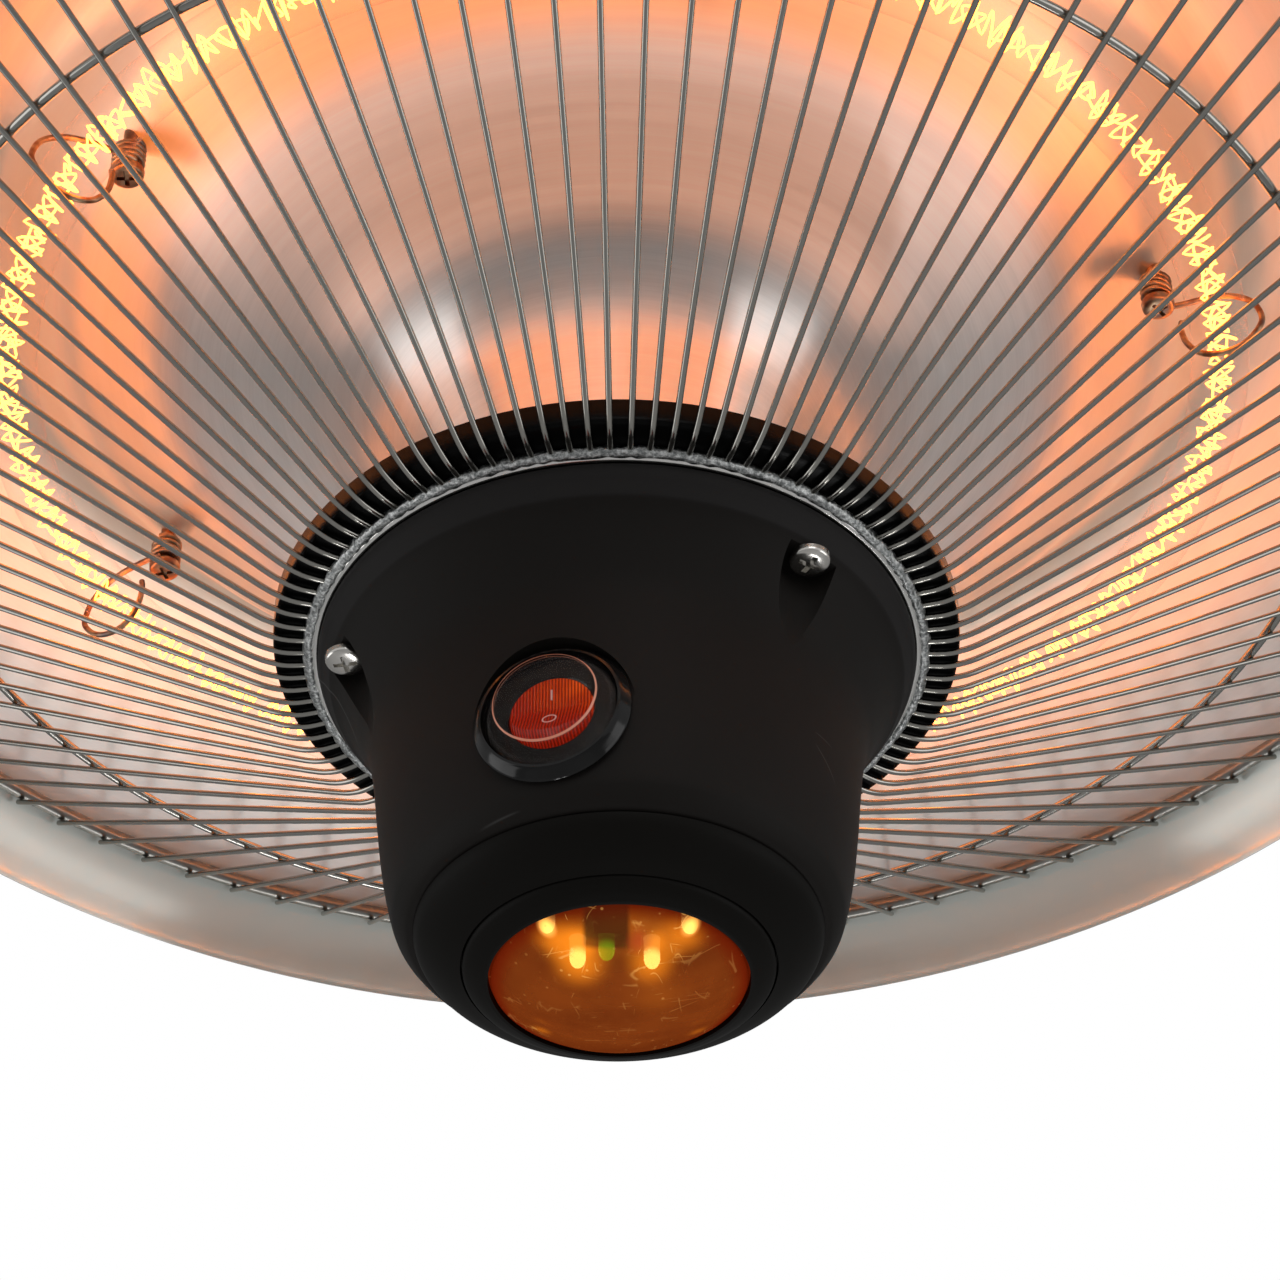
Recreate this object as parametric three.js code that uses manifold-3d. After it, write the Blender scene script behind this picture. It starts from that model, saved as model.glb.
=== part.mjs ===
// Ceiling infrared heater: a spun reflector with a ring lamp, a wire guard and a control
// housing, hung from an eye nut on its centre tube. Millimetres, +Z up.
import * as THREE from "three";
import { mergeVertices } from "three/addons/utils/BufferGeometryUtils.js";
import Module from "manifold-3d";

const wasm = await Module();
wasm.setup();

// Heights are measured from the plane of the reflector's rim, which hangs this far below
// the inner top of the hanging eye.
const hangHeight = 116;
const gap = 0.3;

const lampRadius = 125;
const lampHeight = 5;
const lampTube = 6;
const lampBore = 4.8;
const lampEnds = [98, 442];
const wireCount = 105;
const wireWidth = 1.4;
const wirePhase = 1.7;
const clipAngles = [-147, -79.5, -12, 151];
const clipRadius = 113.6;
const coverScrewAngles = [30, 150, 270];
const coverScrewRadius = 143;
const housingScrewAngles = [-47.5, 72.5, -167.5];
const housingScrewRadius = 53.4;
const switchAngle = -105.6;
const switchHeight = -110;
const switchSeat = 42.5;
const rockerTilt = 12;

const radians = THREE.MathUtils.degToRad;
const root = new THREE.Group();
const heater = new THREE.Group();
heater.position.z = -hangHeight;
root.add(heater);

const paint = (color, roughness, metalness = 0, opacity = 1) =>
  new THREE.MeshStandardMaterial({
    color,
    roughness,
    metalness,
    opacity,
    transparent: opacity < 1,
  });

function piece(name, geometry, material, parent = heater) {
  const mesh = new THREE.Mesh(geometry, material);
  mesh.name = name;
  parent.add(mesh);
  return mesh;
}

function polar(radius, degrees, z = 0) {
  const angle = radians(degrees);
  return new THREE.Vector3(radius * Math.cos(angle), radius * Math.sin(angle), z);
}

// Booleans

function solid(geometry) {
  const bare = geometry.index ? geometry.toNonIndexed() : geometry.clone();
  bare.deleteAttribute("normal");
  bare.deleteAttribute("uv");
  const merged = mergeVertices(bare, 1e-4);
  return new wasm.Manifold(
    new wasm.Mesh({
      numProp: 3,
      vertProperties: merged.attributes.position.array,
      triVerts: new Uint32Array(merged.index.array),
    }),
  );
}

function shape(manifold) {
  const mesh = manifold.getMesh();
  const positions = new Float32Array(mesh.numVert * 3);
  for (let i = 0; i < mesh.numVert; i++) {
    const start = i * mesh.numProp;
    positions.set(mesh.vertProperties.subarray(start, start + 3), i * 3);
  }
  const geometry = new THREE.BufferGeometry();
  geometry.setAttribute("position", new THREE.BufferAttribute(positions, 3));
  geometry.setIndex(new THREE.BufferAttribute(new Uint32Array(mesh.triVerts), 1));
  geometry.computeVertexNormals();
  return geometry;
}

const cut = (geometry, tools) =>
  shape(tools.reduce((left, tool) => left.subtract(solid(tool)), solid(geometry)));

const join = (geometry, others) =>
  shape(others.reduce((sum, other) => sum.add(solid(other)), solid(geometry)));

const common = (a, b) => shape(solid(a).intersect(solid(b)));

// Basic shapes

function windsRight(points) {
  let area = 0;
  points.forEach(([x, y], i) => {
    const [nextX, nextY] = points[(i + 1) % points.length];
    area += x * nextY - nextX * y;
  });
  return area > 0;
}

// A turned piece from [radius, height] points: a closed ring section, or a profile that
// starts and ends on the axis.
function turned(points, segments) {
  const ordered = windsRight(points) ? points : [...points].reverse();
  const onAxis = ordered.some(([radius]) => radius === 0);
  const start = onAxis ? ordered.findIndex((p, i) =>
    p[0] === 0 && ordered[(i + ordered.length - 1) % ordered.length][0] === 0) : 0;
  const line = [...ordered.slice(start), ...ordered.slice(0, start)];
  if (!onAxis) line.push(line[0]);
  const profile = line.map(([radius, height]) => new THREE.Vector2(radius, height));
  const geometry = new THREE.LatheGeometry(profile, segments);
  geometry.rotateX(Math.PI / 2);
  return geometry;
}

// A sheet of even thickness: the given side and its offset to the left of its direction.
function sheet(points, thickness) {
  const normals = points.slice(1).map(([x, y], i) => {
    const dx = x - points[i][0];
    const dy = y - points[i][1];
    const length = Math.hypot(dx, dy);
    return [-dy / length, dx / length];
  });
  const back = points.map(([x, y], i) => {
    const a = normals[Math.max(i - 1, 0)];
    const b = normals[Math.min(i, normals.length - 1)];
    const scale = thickness / (1 + a[0] * b[0] + a[1] * b[1]);
    return [x + (a[0] + b[0]) * scale, y + (a[1] + b[1]) * scale];
  });
  return [...points, ...back.reverse()];
}

function cylinder(radius, low, high, sides, center = new THREE.Vector3()) {
  const geometry = turned([[0, low], [radius, low], [radius, high], [0, high]], sides);
  geometry.translate(center.x, center.y, center.z);
  return geometry;
}

function box(x, y, z, center) {
  const geometry = new THREE.BoxGeometry(x, y, z);
  geometry.translate(...center);
  return geometry;
}

function regular(radius, sides) {
  const points = [];
  for (let i = 0; i < sides; i++) {
    const angle = (2 * Math.PI * (i + 0.5)) / sides;
    points.push(new THREE.Vector2(radius * Math.cos(angle), radius * Math.sin(angle)));
  }
  return points;
}

// A route that steps from one given point to the next, however far apart they are.
class Route extends THREE.CatmullRomCurve3 {
  getPointAt(u, target) {
    return this.getPoint(u, target);
  }
  getTangentAt(u, target) {
    return this.getTangent(u, target);
  }
  getSpacedPoints(count) {
    return this.getPoints(count);
  }
}

function tube(points, radius, sides, bore = 0) {
  const section = new THREE.Shape(regular(radius, sides));
  if (bore) section.holes.push(new THREE.Path(regular(bore, sides)));
  const extrudePath = new Route(points, false, "centripetal");
  const steps = points.length - 1;
  return new THREE.ExtrudeGeometry(section, { steps, extrudePath, bevelEnabled: false });
}

function leastGap(name, points, radius, apart) {
  let least = Infinity;
  points.forEach((point, i) => {
    for (let j = i + apart; j < points.length; j++)
      least = Math.min(least, point.distanceTo(points[j]));
  });
  console.log(name, "least gap to itself", (least - 2 * radius).toFixed(2), "mm");
}

function around(geometry, angles, place) {
  return angles.map((degrees) => {
    const copy = geometry.clone();
    const spot = place(degrees);
    copy.translate(spot.x, spot.y, spot.z);
    return copy;
  });
}

// Metals and plastics

const aluminium = () => paint(0xb9aea4, 0.32, 1);
const steel = () => paint(0xa9a7a3, 0.3, 1);
const nickel = () => paint(0xc4c0b8, 0.25, 1);
const wireMetal = () => paint(0xd2cec6, 0.25, 1);
const burntSteel = () => paint(0x6d5a50, 0.45, 0.9);
const blackPlastic = () => paint(0x1b1a1a, 0.6);
const glossBlack = () => paint(0x0b0b0b, 0.15);
const ceramic = () => paint(0xe8e2d4, 0.6);
const board = () => paint(0x1f5a38, 0.6);

// Reflector: a trumpet neck, a raised inner dish, a ledge for the lamp clips, an outer dome
// and a flared, rolled rim.

const reflectorUnderside = [
  [5.4, -59.2],
  [32, -59.2],
  [34.4, -22],
  [38.6, -11.5],
  [47, -1],
  [62, 7.5],
  [99, 11],
  [106.5, 19.3],
  [117, 20.6],
  [127, 36.5],
  [141, 45],
  [160, 43],
  [185, 31],
  [204.4, 15.6],
  [208.6, 6.2],
];
const reflectorThickness = 1;
const beadCenter = [210.2, 2.1];
const beadRadius = 2.3;

const reflectorSection = sheet(reflectorUnderside, reflectorThickness);
const bead = [-140, -60, 10, 80].map((degrees) => [
  beadCenter[0] + beadRadius * Math.cos(radians(degrees)),
  beadCenter[1] + beadRadius * Math.sin(radians(degrees)),
]);
reflectorSection.splice(reflectorUnderside.length, 0, ...bead);

const legAngles = [lampEnds[0], lampEnds[1] - 360];
const reflectorHoles = [
  ...around(cylinder(lampTube + 1.4, 20, 50, 10), legAngles, (a) => polar(lampRadius, a)),
  ...around(cylinder(1.9, 10, 30, 8), clipAngles, (a) => polar(clipRadius, a)),
  ...around(cylinder(1.7, 36, 56, 8), coverScrewAngles, (a) => polar(coverScrewRadius, a)),
];
piece("reflector", cut(turned(reflectorSection, 32), reflectorHoles), aluminium());

// Top cover over the lamp ends and the mains terminals

const coverTop = 83;
const coverThickness = 1.2;
const dishDepth = 0.8;
const glandSpot = polar(45, 90);
const coverUnderside = [
  [147, 46.9],
  [138.8, 46.9],
  [136, 62],
  [118, 74],
  [74, coverTop],
  [17, coverTop],
  [5.6, coverTop - dishDepth],
];
const coverSection = sheet([...coverUnderside].reverse(), coverThickness);
const coverHoles = [
  cylinder(6.3, coverTop - 5, coverTop + 5, 12, glandSpot),
  ...around(cylinder(1.7, 40, 56, 8), coverScrewAngles, (a) => polar(coverScrewRadius, a)),
];
const coverLift = 0.9;
const coverMesh = piece("top_cover", cut(turned(coverSection, 26), coverHoles), aluminium());
coverMesh.position.z = coverLift;

// Fasteners

function panHead(headRadius, headHeight, shankRadius, length, sides = 6) {
  return turned(
    [
      [0, -headHeight],
      [0.8 * headRadius, -headHeight],
      [headRadius, 0],
      [shankRadius, 0],
      [shankRadius, length],
      [0, length],
    ],
    sides,
  );
}

function screws(name, geometry, angles, place, material, turn = 0) {
  angles.forEach((degrees, i) => {
    const screw = piece(name + "_" + (i + 1), geometry, material());
    screw.position.copy(place(degrees));
    screw.rotation.x = turn;
  });
}

const coverFlangeTop = 46.9 + coverThickness + coverLift;
screws(
  "cover_screw",
  panHead(3, 2, 1.3, 7),
  coverScrewAngles,
  (a) => polar(coverScrewRadius, a, coverFlangeTop + gap),
  nickel,
  Math.PI,
);

function nut(acrossCorners, low, high, bore, sides = 6) {
  const body = cylinder(acrossCorners / 2, low, high, sides);
  return cut(body, [cylinder(bore, low - 1, high + 1, 8)]);
}

// Centre tube with its nuts and the hanging eye

const tubeRadius = 5;
const tubeBore = 3.4;
const tubeBottom = -70;
const tubeTop = 97;
const tubeWall = turned(
  [
    [tubeBore, tubeBottom],
    [tubeRadius, tubeBottom],
    [tubeRadius, tubeTop],
    [tubeBore, tubeTop],
  ],
  12,
);
const wireSlot = box(8, 5.6, 34, [-4, 0, 57]);
piece("centre_tube", cut(tubeWall, [wireSlot]), steel());

const coverOuterTop = coverTop + coverThickness + coverLift;
const nutBore = 5.4;
const topNutBase = coverOuterTop - dishDepth / 2 + gap;
piece("top_nut", nut(19, topNutBase, topNutBase + 6.7, nutBore), nickel());
piece("neck_nut", nut(19, -57.9, -51, nutBore), nickel());
piece("hub_nut", nut(19, -67.5, -61, nutBore), nickel());

const eyeRadius = 11;
const eyeRod = 3;
const eyeCenter = hangHeight - (eyeRadius - eyeRod);
const eyeRing = new THREE.TorusGeometry(eyeRadius, eyeRod, 8, 16);
eyeRing.rotateX(Math.PI / 2);
eyeRing.translate(0, 0, eyeCenter);
const eyeBoss = turned(
  [
    [0, 93],
    [9, 93],
    [9, 98.5],
    [6.5, 101],
    [0, 101],
  ],
  16,
);
const eyeBody = join(eyeRing, [eyeBoss]);
piece("hanging_eye", cut(eyeBody, [cylinder(nutBore, 90, tubeTop + gap, 12)]), nickel());

// Cable gland on the cover

const glandBase = coverOuterTop + gap;
const glandBody = turned(
  [
    [3.6, coverTop - 9],
    [6, coverTop - 9],
    [6, glandBase],
    [9.5, glandBase],
    [9.5, glandBase + 5],
    [7, glandBase + 5],
    [7, glandBase + 11],
    [3.6, glandBase + 11],
  ],
  8,
);
const glandCap = turned(
  [
    [7.8, glandBase + 5 + gap],
    [9.2, glandBase + 5 + gap],
    [9.2, glandBase + 12],
    [6, glandBase + 16],
    [3.6, glandBase + 16],
    [3.6, glandBase + 11 + gap],
    [7.8, glandBase + 11 + gap],
  ],
  8,
);
piece("cable_gland", glandBody, blackPlastic()).position.copy(glandSpot);
piece("gland_cap", glandCap, blackPlastic()).position.copy(glandSpot);
piece("gland_nut", nut(18, 79, coverTop + coverLift - gap, 6.4), blackPlastic())
  .position.copy(glandSpot);

// Mains terminals and cut-out on the back of the reflector

const backHeight = 11.9;
piece("terminal_block", box(16, 36, 16, [-80, 0, backHeight + 8]), ceramic());
piece(
  "thermal_cutout",
  turned(
    [
      [0, backHeight],
      [11, backHeight],
      [11, backHeight + 1.5],
      [8, backHeight + 1.5],
      [8, backHeight + 10],
      [0, backHeight + 10],
    ],
    12,
  ),
  blackPlastic(),
).position.set(80, 20, 0);

// Ring lamp: both ends turn up through the reflector into ceramic caps.

const bendRadius = 13;
const capBottom = 44;
const capTop = 58;
const legTop = 52;

// A route up one leg, round the ring and up the other.
function lampRoute(top, bendSteps, ringSteps) {
  const points = [];
  const [from, to] = lampEnds;
  const bendSpan = (bendRadius / lampRadius) * (180 / Math.PI);
  points.push(polar(lampRadius, from, top));
  for (let i = 0; i < bendSteps; i++) {
    const angle = (Math.PI / 2) * (i / bendSteps);
    const along = bendSpan * (1 - Math.cos(angle));
    const height = lampHeight + bendRadius * (1 - Math.sin(angle));
    points.push(polar(lampRadius, from + along, height));
  }
  const arc = [];
  for (let i = 0; i <= ringSteps; i++) {
    const span = to - from - 2 * bendSpan;
    arc.push(polar(lampRadius, from + bendSpan + (span * i) / ringSteps, lampHeight));
  }
  const mirrored = points.map((p) => {
    const angle = from + to - THREE.MathUtils.radToDeg(Math.atan2(p.y, p.x));
    return polar(lampRadius, angle, p.z);
  });
  return [...points, ...arc, ...mirrored.reverse()];
}

const quartz = paint(0xf2eef0, 0.05, 0, 0.35);
piece("quartz_tube", tube(lampRoute(legTop, 3, 24), lampTube, 8, lampBore), quartz);

// Filament: a helix round the ring's centre line, with straight tails up the legs.

const curls = 34;
const curlSteps = 6;
const curlRadius = 2.7;
const filamentWire = 0.5;
const filamentTop = 51.8;
const filamentPoints = [];
const [legStart, legEnd] = lampEnds;
const coilStart = legStart + 8;
const coilEnd = legEnd - 8;
filamentPoints.push(polar(lampRadius, legStart, filamentTop));
filamentPoints.push(polar(lampRadius, legStart, lampHeight + bendRadius));
filamentPoints.push(polar(lampRadius, legStart + 1.8, lampHeight + 4));
for (let i = 0; i <= curls * curlSteps; i++) {
  const turn = (2 * Math.PI * i) / curlSteps;
  const grow = Math.min(1, i / curlSteps, (curls * curlSteps - i) / curlSteps);
  const angle = coilStart + ((coilEnd - coilStart) * i) / (curls * curlSteps);
  const offset = curlRadius * grow;
  const ring = lampRadius + offset * Math.cos(turn);
  filamentPoints.push(polar(ring, angle, lampHeight + offset * Math.sin(turn)));
}
filamentPoints.push(polar(lampRadius, legEnd - 1.8, lampHeight + 4));
filamentPoints.push(polar(lampRadius, legEnd, lampHeight + bendRadius));
filamentPoints.push(polar(lampRadius, legEnd, filamentTop));
leastGap("filament", filamentPoints, filamentWire, curlSteps);
const glowing = paint(0xffe08a, 0.5);
glowing.emissive = new THREE.Color(0xffb340);
piece("filament", tube(filamentPoints, filamentWire, 3), glowing);

const lampCap = turned(
  [
    [0, legTop + gap],
    [lampTube + 0.5, legTop + gap],
    [lampTube + 0.5, capBottom],
    [8.5, capBottom],
    [8.5, capTop],
    [0, capTop],
  ],
  12,
);
["left", "right"].forEach((side, i) => {
  piece("lamp_cap_" + side, lampCap, ceramic()).position.copy(polar(lampRadius, legAngles[i]));
});

const leadRadius = 1.2;
const leftLead = [
  polar(lampRadius, legAngles[0], capTop + gap),
  polar(lampRadius, legAngles[0], capTop + 4),
  new THREE.Vector3(-34, 112, 62),
  new THREE.Vector3(-62, 78, 52),
  new THREE.Vector3(-76, 46, 34),
  new THREE.Vector3(-77, 25, 20),
  new THREE.Vector3(-77, 18.5, 20),
];
const rightLead = [
  polar(lampRadius, legAngles[1], capTop + gap),
  polar(lampRadius, legAngles[1], capTop + 4),
  new THREE.Vector3(2, 100, 66),
  new THREE.Vector3(-44, 76, 60),
  new THREE.Vector3(-78, 48, 42),
  new THREE.Vector3(-84, 25, 20),
  new THREE.Vector3(-84, 18.5, 20),
];
piece("lamp_lead_left", tube(leftLead, leadRadius, 8), paint(0xe9e4da, 0.8));
piece("lamp_lead_right", tube(rightLead, leadRadius, 8), paint(0xe9e4da, 0.8));

// Lamp clips: a spring round the screw, then a loop under and round the tube.

const clipWire = 0.65;
const springRadius = 2.75;
const springTurns = 2;
const springBottom = 12.9;
const springTop = 18.6;
const clipPoints = [];
for (let i = 0; i <= springTurns * 8; i++) {
  const angle = (2 * Math.PI * i) / 8 + Math.PI / 2;
  const height = springTop + ((springBottom - springTop) * i) / (springTurns * 8);
  clipPoints.push(
    new THREE.Vector3(springRadius * Math.cos(angle), springRadius * Math.sin(angle), height),
  );
}
clipPoints.reverse();
clipPoints.unshift(
  ...[
    [4.2, 2.2, 7.6],
    [3.9, 2.2, 5.5],
    [4.6, 2.1, 1.5],
    [7.2, 1.8, -2.2],
    [11.4, 1.4, -3.4],
    [16, 1.1, -2],
    [19.4, 0.8, 1.6],
    [20.2, 0.6, 4.6],
    [18.6, 0.7, 9],
    [14.5, 1.2, 12],
    [9.6, 1.9, 12.9],
    [4.6, 2.5, 12.9],
  ].map(([x, y, z]) => new THREE.Vector3(x, y, z)),
);
leastGap("lamp clip", clipPoints, clipWire, 6);
const clipShape = tube(clipPoints, clipWire, 4);
clipAngles.forEach((degrees, i) => {
  const clip = piece("lamp_clip_" + (i + 1), clipShape, burntSteel());
  clip.position.copy(polar(clipRadius, degrees));
  clip.rotation.z = radians(degrees);
});
screws(
  "clip_screw",
  panHead(3.4, 2.2, 1.5, 12),
  clipAngles,
  (a) => polar(clipRadius, a, 11.9),
  burntSteel,
);

// Hub dish: the black pressed band between the housing and the wires

const dishUnderside = [
  [5.4, -60.7],
  [50, -60.7],
  [56, -61.9],
  [66.4, -61.9],
  [67.4, -56.5],
];
const dishHoles = around(cylinder(2.2, -66, -56, 8), housingScrewAngles, (a) =>
  polar(housingScrewRadius, a),
);
piece("hub_dish", cut(turned(sheet(dishUnderside, 1.2), 28), dishHoles), glossBlack());

// Guard: straight wires welded to the inner hoop, with the hub ring below their inner ends
// and the outer hoop above their outer ends.

const wireLine = [
  [57.3, -62.9],
  [67.5, -62.9],
  [200.3, 13],
];
const hoopRadius = 147.5;
const halfWire = wireWidth / 2;

// Height of the wires' top or bottom face at a radius
function wireFace(radius, side) {
  const i = Math.max(1, wireLine.findIndex(([r]) => r >= radius));
  const [r0, z0] = wireLine[i - 1];
  const [r1, z1] = wireLine[i];
  const slope = (z1 - z0) / (r1 - r0);
  return z0 + slope * (radius - r0) + side * halfWire * Math.hypot(1, slope);
}

function buildGuard() {
  const positions = [];
  const triangles = [];
  const hoop = [
    [hoopRadius - 0.7, wireFace(hoopRadius - 0.7, 1)],
    [hoopRadius + 0.7, wireFace(hoopRadius + 0.7, 1)],
    [hoopRadius + 0.8, wireFace(hoopRadius, 1) + 1.7],
    [hoopRadius - 0.8, wireFace(hoopRadius, 1) + 1.7],
  ];
  const bottom = wireLine.map(([r]) => [r, wireFace(r, -1)]);
  const top = [
    [wireLine[2][0], wireFace(wireLine[2][0], 1)],
    hoop[1],
    hoop[0],
    [wireLine[1][0], wireFace(wireLine[1][0], 1)],
    [wireLine[0][0], wireFace(wireLine[0][0], 1)],
  ];
  const strip = [...bottom, ...top];
  const contour = strip.map(([r, z]) => new THREE.Vector2(r, z));
  const faces = THREE.ShapeUtils.triangulateShape(contour, []);
  const contact = bottom.length + 1;
  const sides = [];
  for (let i = 0; i < wireCount; i++) {
    const degrees = wirePhase + (360 * i) / wireCount;
    for (const side of [-1, 1]) {
      const place = ([r, z]) => {
        const spot = new THREE.Vector3(r, side * halfWire, z);
        return spot.applyAxisAngle(new THREE.Vector3(0, 0, 1), radians(degrees));
      };
      const start = positions.length / 3;
      const all = [...strip, ...hoop.slice(2)];
      all.forEach((p) => positions.push(...place(p).toArray()));
      sides.push(start);
    }
  }
  const quad = (a, b, c, d) => triangles.push(a, b, c, a, c, d);
  const hoopIndex = (k) => [contact + 1, contact, ...hoop.slice(2).map((_, n) => strip.length + n)][k];
  for (let i = 0; i < wireCount; i++) {
    const a = sides[2 * i];
    const b = sides[2 * i + 1];
    const next = sides[(2 * i + 2) % sides.length];
    faces.forEach(([p, q, r]) => {
      triangles.push(a + p, a + q, a + r);
      triangles.push(b + p, b + r, b + q);
    });
    strip.forEach((_, k) => {
      const m = (k + 1) % strip.length;
      if (k !== contact) quad(a + k, b + k, b + m, a + m);
    });
    hoop.forEach((_, k) => {
      const p = hoopIndex(k);
      const q = hoopIndex((k + 1) % hoop.length);
      if (k) quad(a + p, b + p, b + q, a + q);
      quad(b + p, next + p, next + q, b + q);
    });
  }
  const geometry = new THREE.BufferGeometry();
  geometry.setAttribute("position", new THREE.Float32BufferAttribute(positions, 3));
  geometry.setIndex(triangles);
  geometry.computeVertexNormals();
  return geometry;
}
piece("wire_guard", buildGuard(), wireMetal());

function hoopSection(radius, height, rod, sides) {
  return regular(rod, sides).map((p) => [radius + p.x, height + p.y]);
}
const hubRingRod = 1.4;
const hubRing = hoopSection(60.5, -62.9 - halfWire - gap - hubRingRod, hubRingRod, 6);
piece("hub_ring", turned(hubRing, 36), nickel());
const outerHoopRod = 1.8;
piece("outer_hoop", turned(hoopSection(198.4, 15, outerHoopRod, 6), 48), wireMetal());

// Control housing: a bell under the dish with a switch seat and three screw pockets

const bellOuter = [
  [56.6, -62.2],
  [56.6, -63.9],
  [58.4, -63.9],
  [58.4, -65.2],
  [55.5, -70],
  [52.2, -75],
  [48.2, -84.5],
  [46.2, -97],
  [44.6, -112],
  [42.3, -124.2],
  [38.3, -128.8],
];
const bellInner = [
  [36.4, -128.8],
  [40, -123.4],
  [43.6, -98.8],
  [36.5, -98.8],
  [36.5, -97.5],
  [43.8, -97.5],
  [46.4, -83],
  [54, -69],
  [54, -62.2],
];
const bellSegments = 28;
const bellSolid = turned([[0, -62.2], ...bellOuter, [0, -128.8]], bellSegments);

// Local frame at the switch: Z out of the wall, Y up, X along the wall
function switchFrame(group) {
  const out = polar(1, switchAngle);
  const up = new THREE.Vector3(0, 0, 1);
  const across = new THREE.Vector3().crossVectors(up, out);
  group.quaternion.setFromRotationMatrix(new THREE.Matrix4().makeBasis(across, up, out));
  group.position.copy(polar(switchSeat, switchAngle, switchHeight));
}
const switchGroup = new THREE.Group();
switchFrame(switchGroup);
heater.add(switchGroup);
switchGroup.updateMatrix();

const switchPad = box(32, 31, 8, [0, 0, 1.8]).applyMatrix4(switchGroup.matrix);
const switchPocket = cylinder(15.3, 0, 12, 18).applyMatrix4(switchGroup.matrix);
const switchHole = cylinder(10.1, -8, 4, 16).applyMatrix4(switchGroup.matrix);
const screwHeadBottom = -73.2;
const bossPads = around(cylinder(7.8, -90, -62.2, 8), housingScrewAngles, (a) =>
  polar(housingScrewRadius, a),
);
const screwPockets = around(cylinder(6, -100, -70.5, 8), housingScrewAngles, (a) =>
  polar(housingScrewRadius, a),
);
const screwHoles = around(cylinder(2.3, -90, -50, 6), housingScrewAngles, (a) =>
  polar(housingScrewRadius, a),
);
const bellShell = turned([...bellOuter, ...bellInner], bellSegments);
const bellPads = common(join(switchPad, bossPads), bellSolid);
const boardHoles = around(cylinder(1.3, -102, -96, 8), [20, 200], (a) => polar(38.2, a));
piece(
  "control_housing",
  cut(join(bellShell, [bellPads]), [
    switchPocket,
    switchHole,
    ...screwPockets,
    ...screwHoles,
    ...boardHoles,
  ]),
  blackPlastic(),
);

screws(
  "housing_screw",
  panHead(4, 2.4, 1.9, 12, 8),
  housingScrewAngles,
  (a) => polar(housingScrewRadius, a, screwHeadBottom + 2.4),
  nickel,
);

// Lower cap, lens ring and lens

const capSection = [
  [38, -129.1],
  [36.4, -131.8],
  [33, -134.2],
  [29.2, -136.3],
  [29.1, -134.6],
  [23, -134.6],
  [23, -133.2],
  [33.6, -131.6],
  [34, -124.8],
  [35.9, -124.8],
  [35.9, -129.1],
];
piece("bottom_cap", turned(capSection, 28), blackPlastic());
const lensRing = [
  [24, -139.2],
  [28.8, -136.8],
  [28.8, -134.9],
  [25.3, -134.9],
  [25.3, -137.3],
  [24, -137.6],
];
piece("lens_ring", turned(lensRing, 24), blackPlastic());
const lensSection = [
  [0, -146],
  [9, -145.2],
  [17, -142.8],
  [23.6, -138.8],
  [23.6, -137.1],
  [24.9, -137],
  [24.9, -135.5],
  [21.8, -135.5],
  [21.8, -138],
  [16.4, -141.4],
  [8.6, -143.7],
  [0, -144.5],
];
piece("lens", turned(lensSection, 20), paint(0x8a4a14, 0.15, 0, 0.6));

// Control board and what stands on it

const boardLow = -97.2;
const boardHigh = -95.6;
const boardTop = boardHigh + gap;
const boardDisc = cut(
  cylinder(40, boardLow, boardHigh, 24),
  around(cylinder(1.3, -102, -90, 8), [20, 200], (a) => polar(38.2, a)),
);
piece("control_board", boardDisc, board());
screws(
  "board_screw",
  panHead(2.4, 1.6, 1, 4),
  [20, 200],
  (a) => polar(38.2, a, boardTop),
  nickel,
  Math.PI,
);
piece("relay", box(19, 15, 15.5, [17, 16, boardTop + 7.75]), paint(0x1d3f86, 0.5));
piece(
  "capacitor",
  cylinder(5, boardTop, boardTop + 14, 14, new THREE.Vector3(-18, 14, 0)),
  paint(0x2a2d33, 0.4),
);
piece("board_terminal", box(16, 10, 10, [0, 0, boardTop + 5]), paint(0x2f7d46, 0.5));

const loomPoints = [
  [0, 0, boardTop + 10 + gap],
  [0, 0, -40],
  [0, 0, 0],
  [0, 0, 42],
  [-1.2, 0, 50],
  [-6.5, 0, 59],
  [-20, 0, 62],
  [-50, 0, 51],
  [-72, 0, 39],
  [-80, 0, 34],
  [-80, 0, backHeight + 16.6],
].map((p) => new THREE.Vector3(...p));
piece("wiring_loom", tube(loomPoints, 2.1, 8), paint(0xc9c4ba, 0.8));

// Indicator board behind the lens

const indicatorLow = -130.8;
const indicatorHigh = -129.4;
const legHeight = indicatorLow - gap;
piece("indicator_board", cylinder(27, indicatorLow, indicatorHigh, 20), board());

function lamp(radius) {
  return turned(
    [
      [0, legHeight - 6.5],
      [radius, legHeight - 5],
      [radius, legHeight],
      [0, legHeight],
    ],
    8,
  );
}
const indicators = [
  ["warm_led_1", -13, -13.6, 1.5, 0xffc890],
  ["warm_led_2", 12.8, -13, 1.5, 0xffc890],
  ["warm_led_3", -8, -1.6, 1.5, 0xffc890],
  ["warm_led_4", 7, -1.3, 1.5, 0xffc890],
  ["green_led", -2.3, -4.9, 1.5, 0x66d060],
  ["red_led", 2.6, -6.6, 1.5, 0xb03020],
];
for (const [name, x, y, radius, color] of indicators) {
  piece(name, lamp(radius), paint(color, 0.3)).position.set(x, y, 0);
}
const receiverHeight = 6;
piece(
  "remote_receiver",
  box(6.2, 5.6, receiverHeight, [-1.6, -14.8, legHeight - receiverHeight / 2]),
  paint(0x151515, 0.35),
);

// Switch: a round rocker behind a clear cap

const pivotDepth = -2;
const rockerReach = 8.5;
const barrelRadius = 9.7;
const pinRadius = 0.8;
const boreRadius = 0.9;

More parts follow.
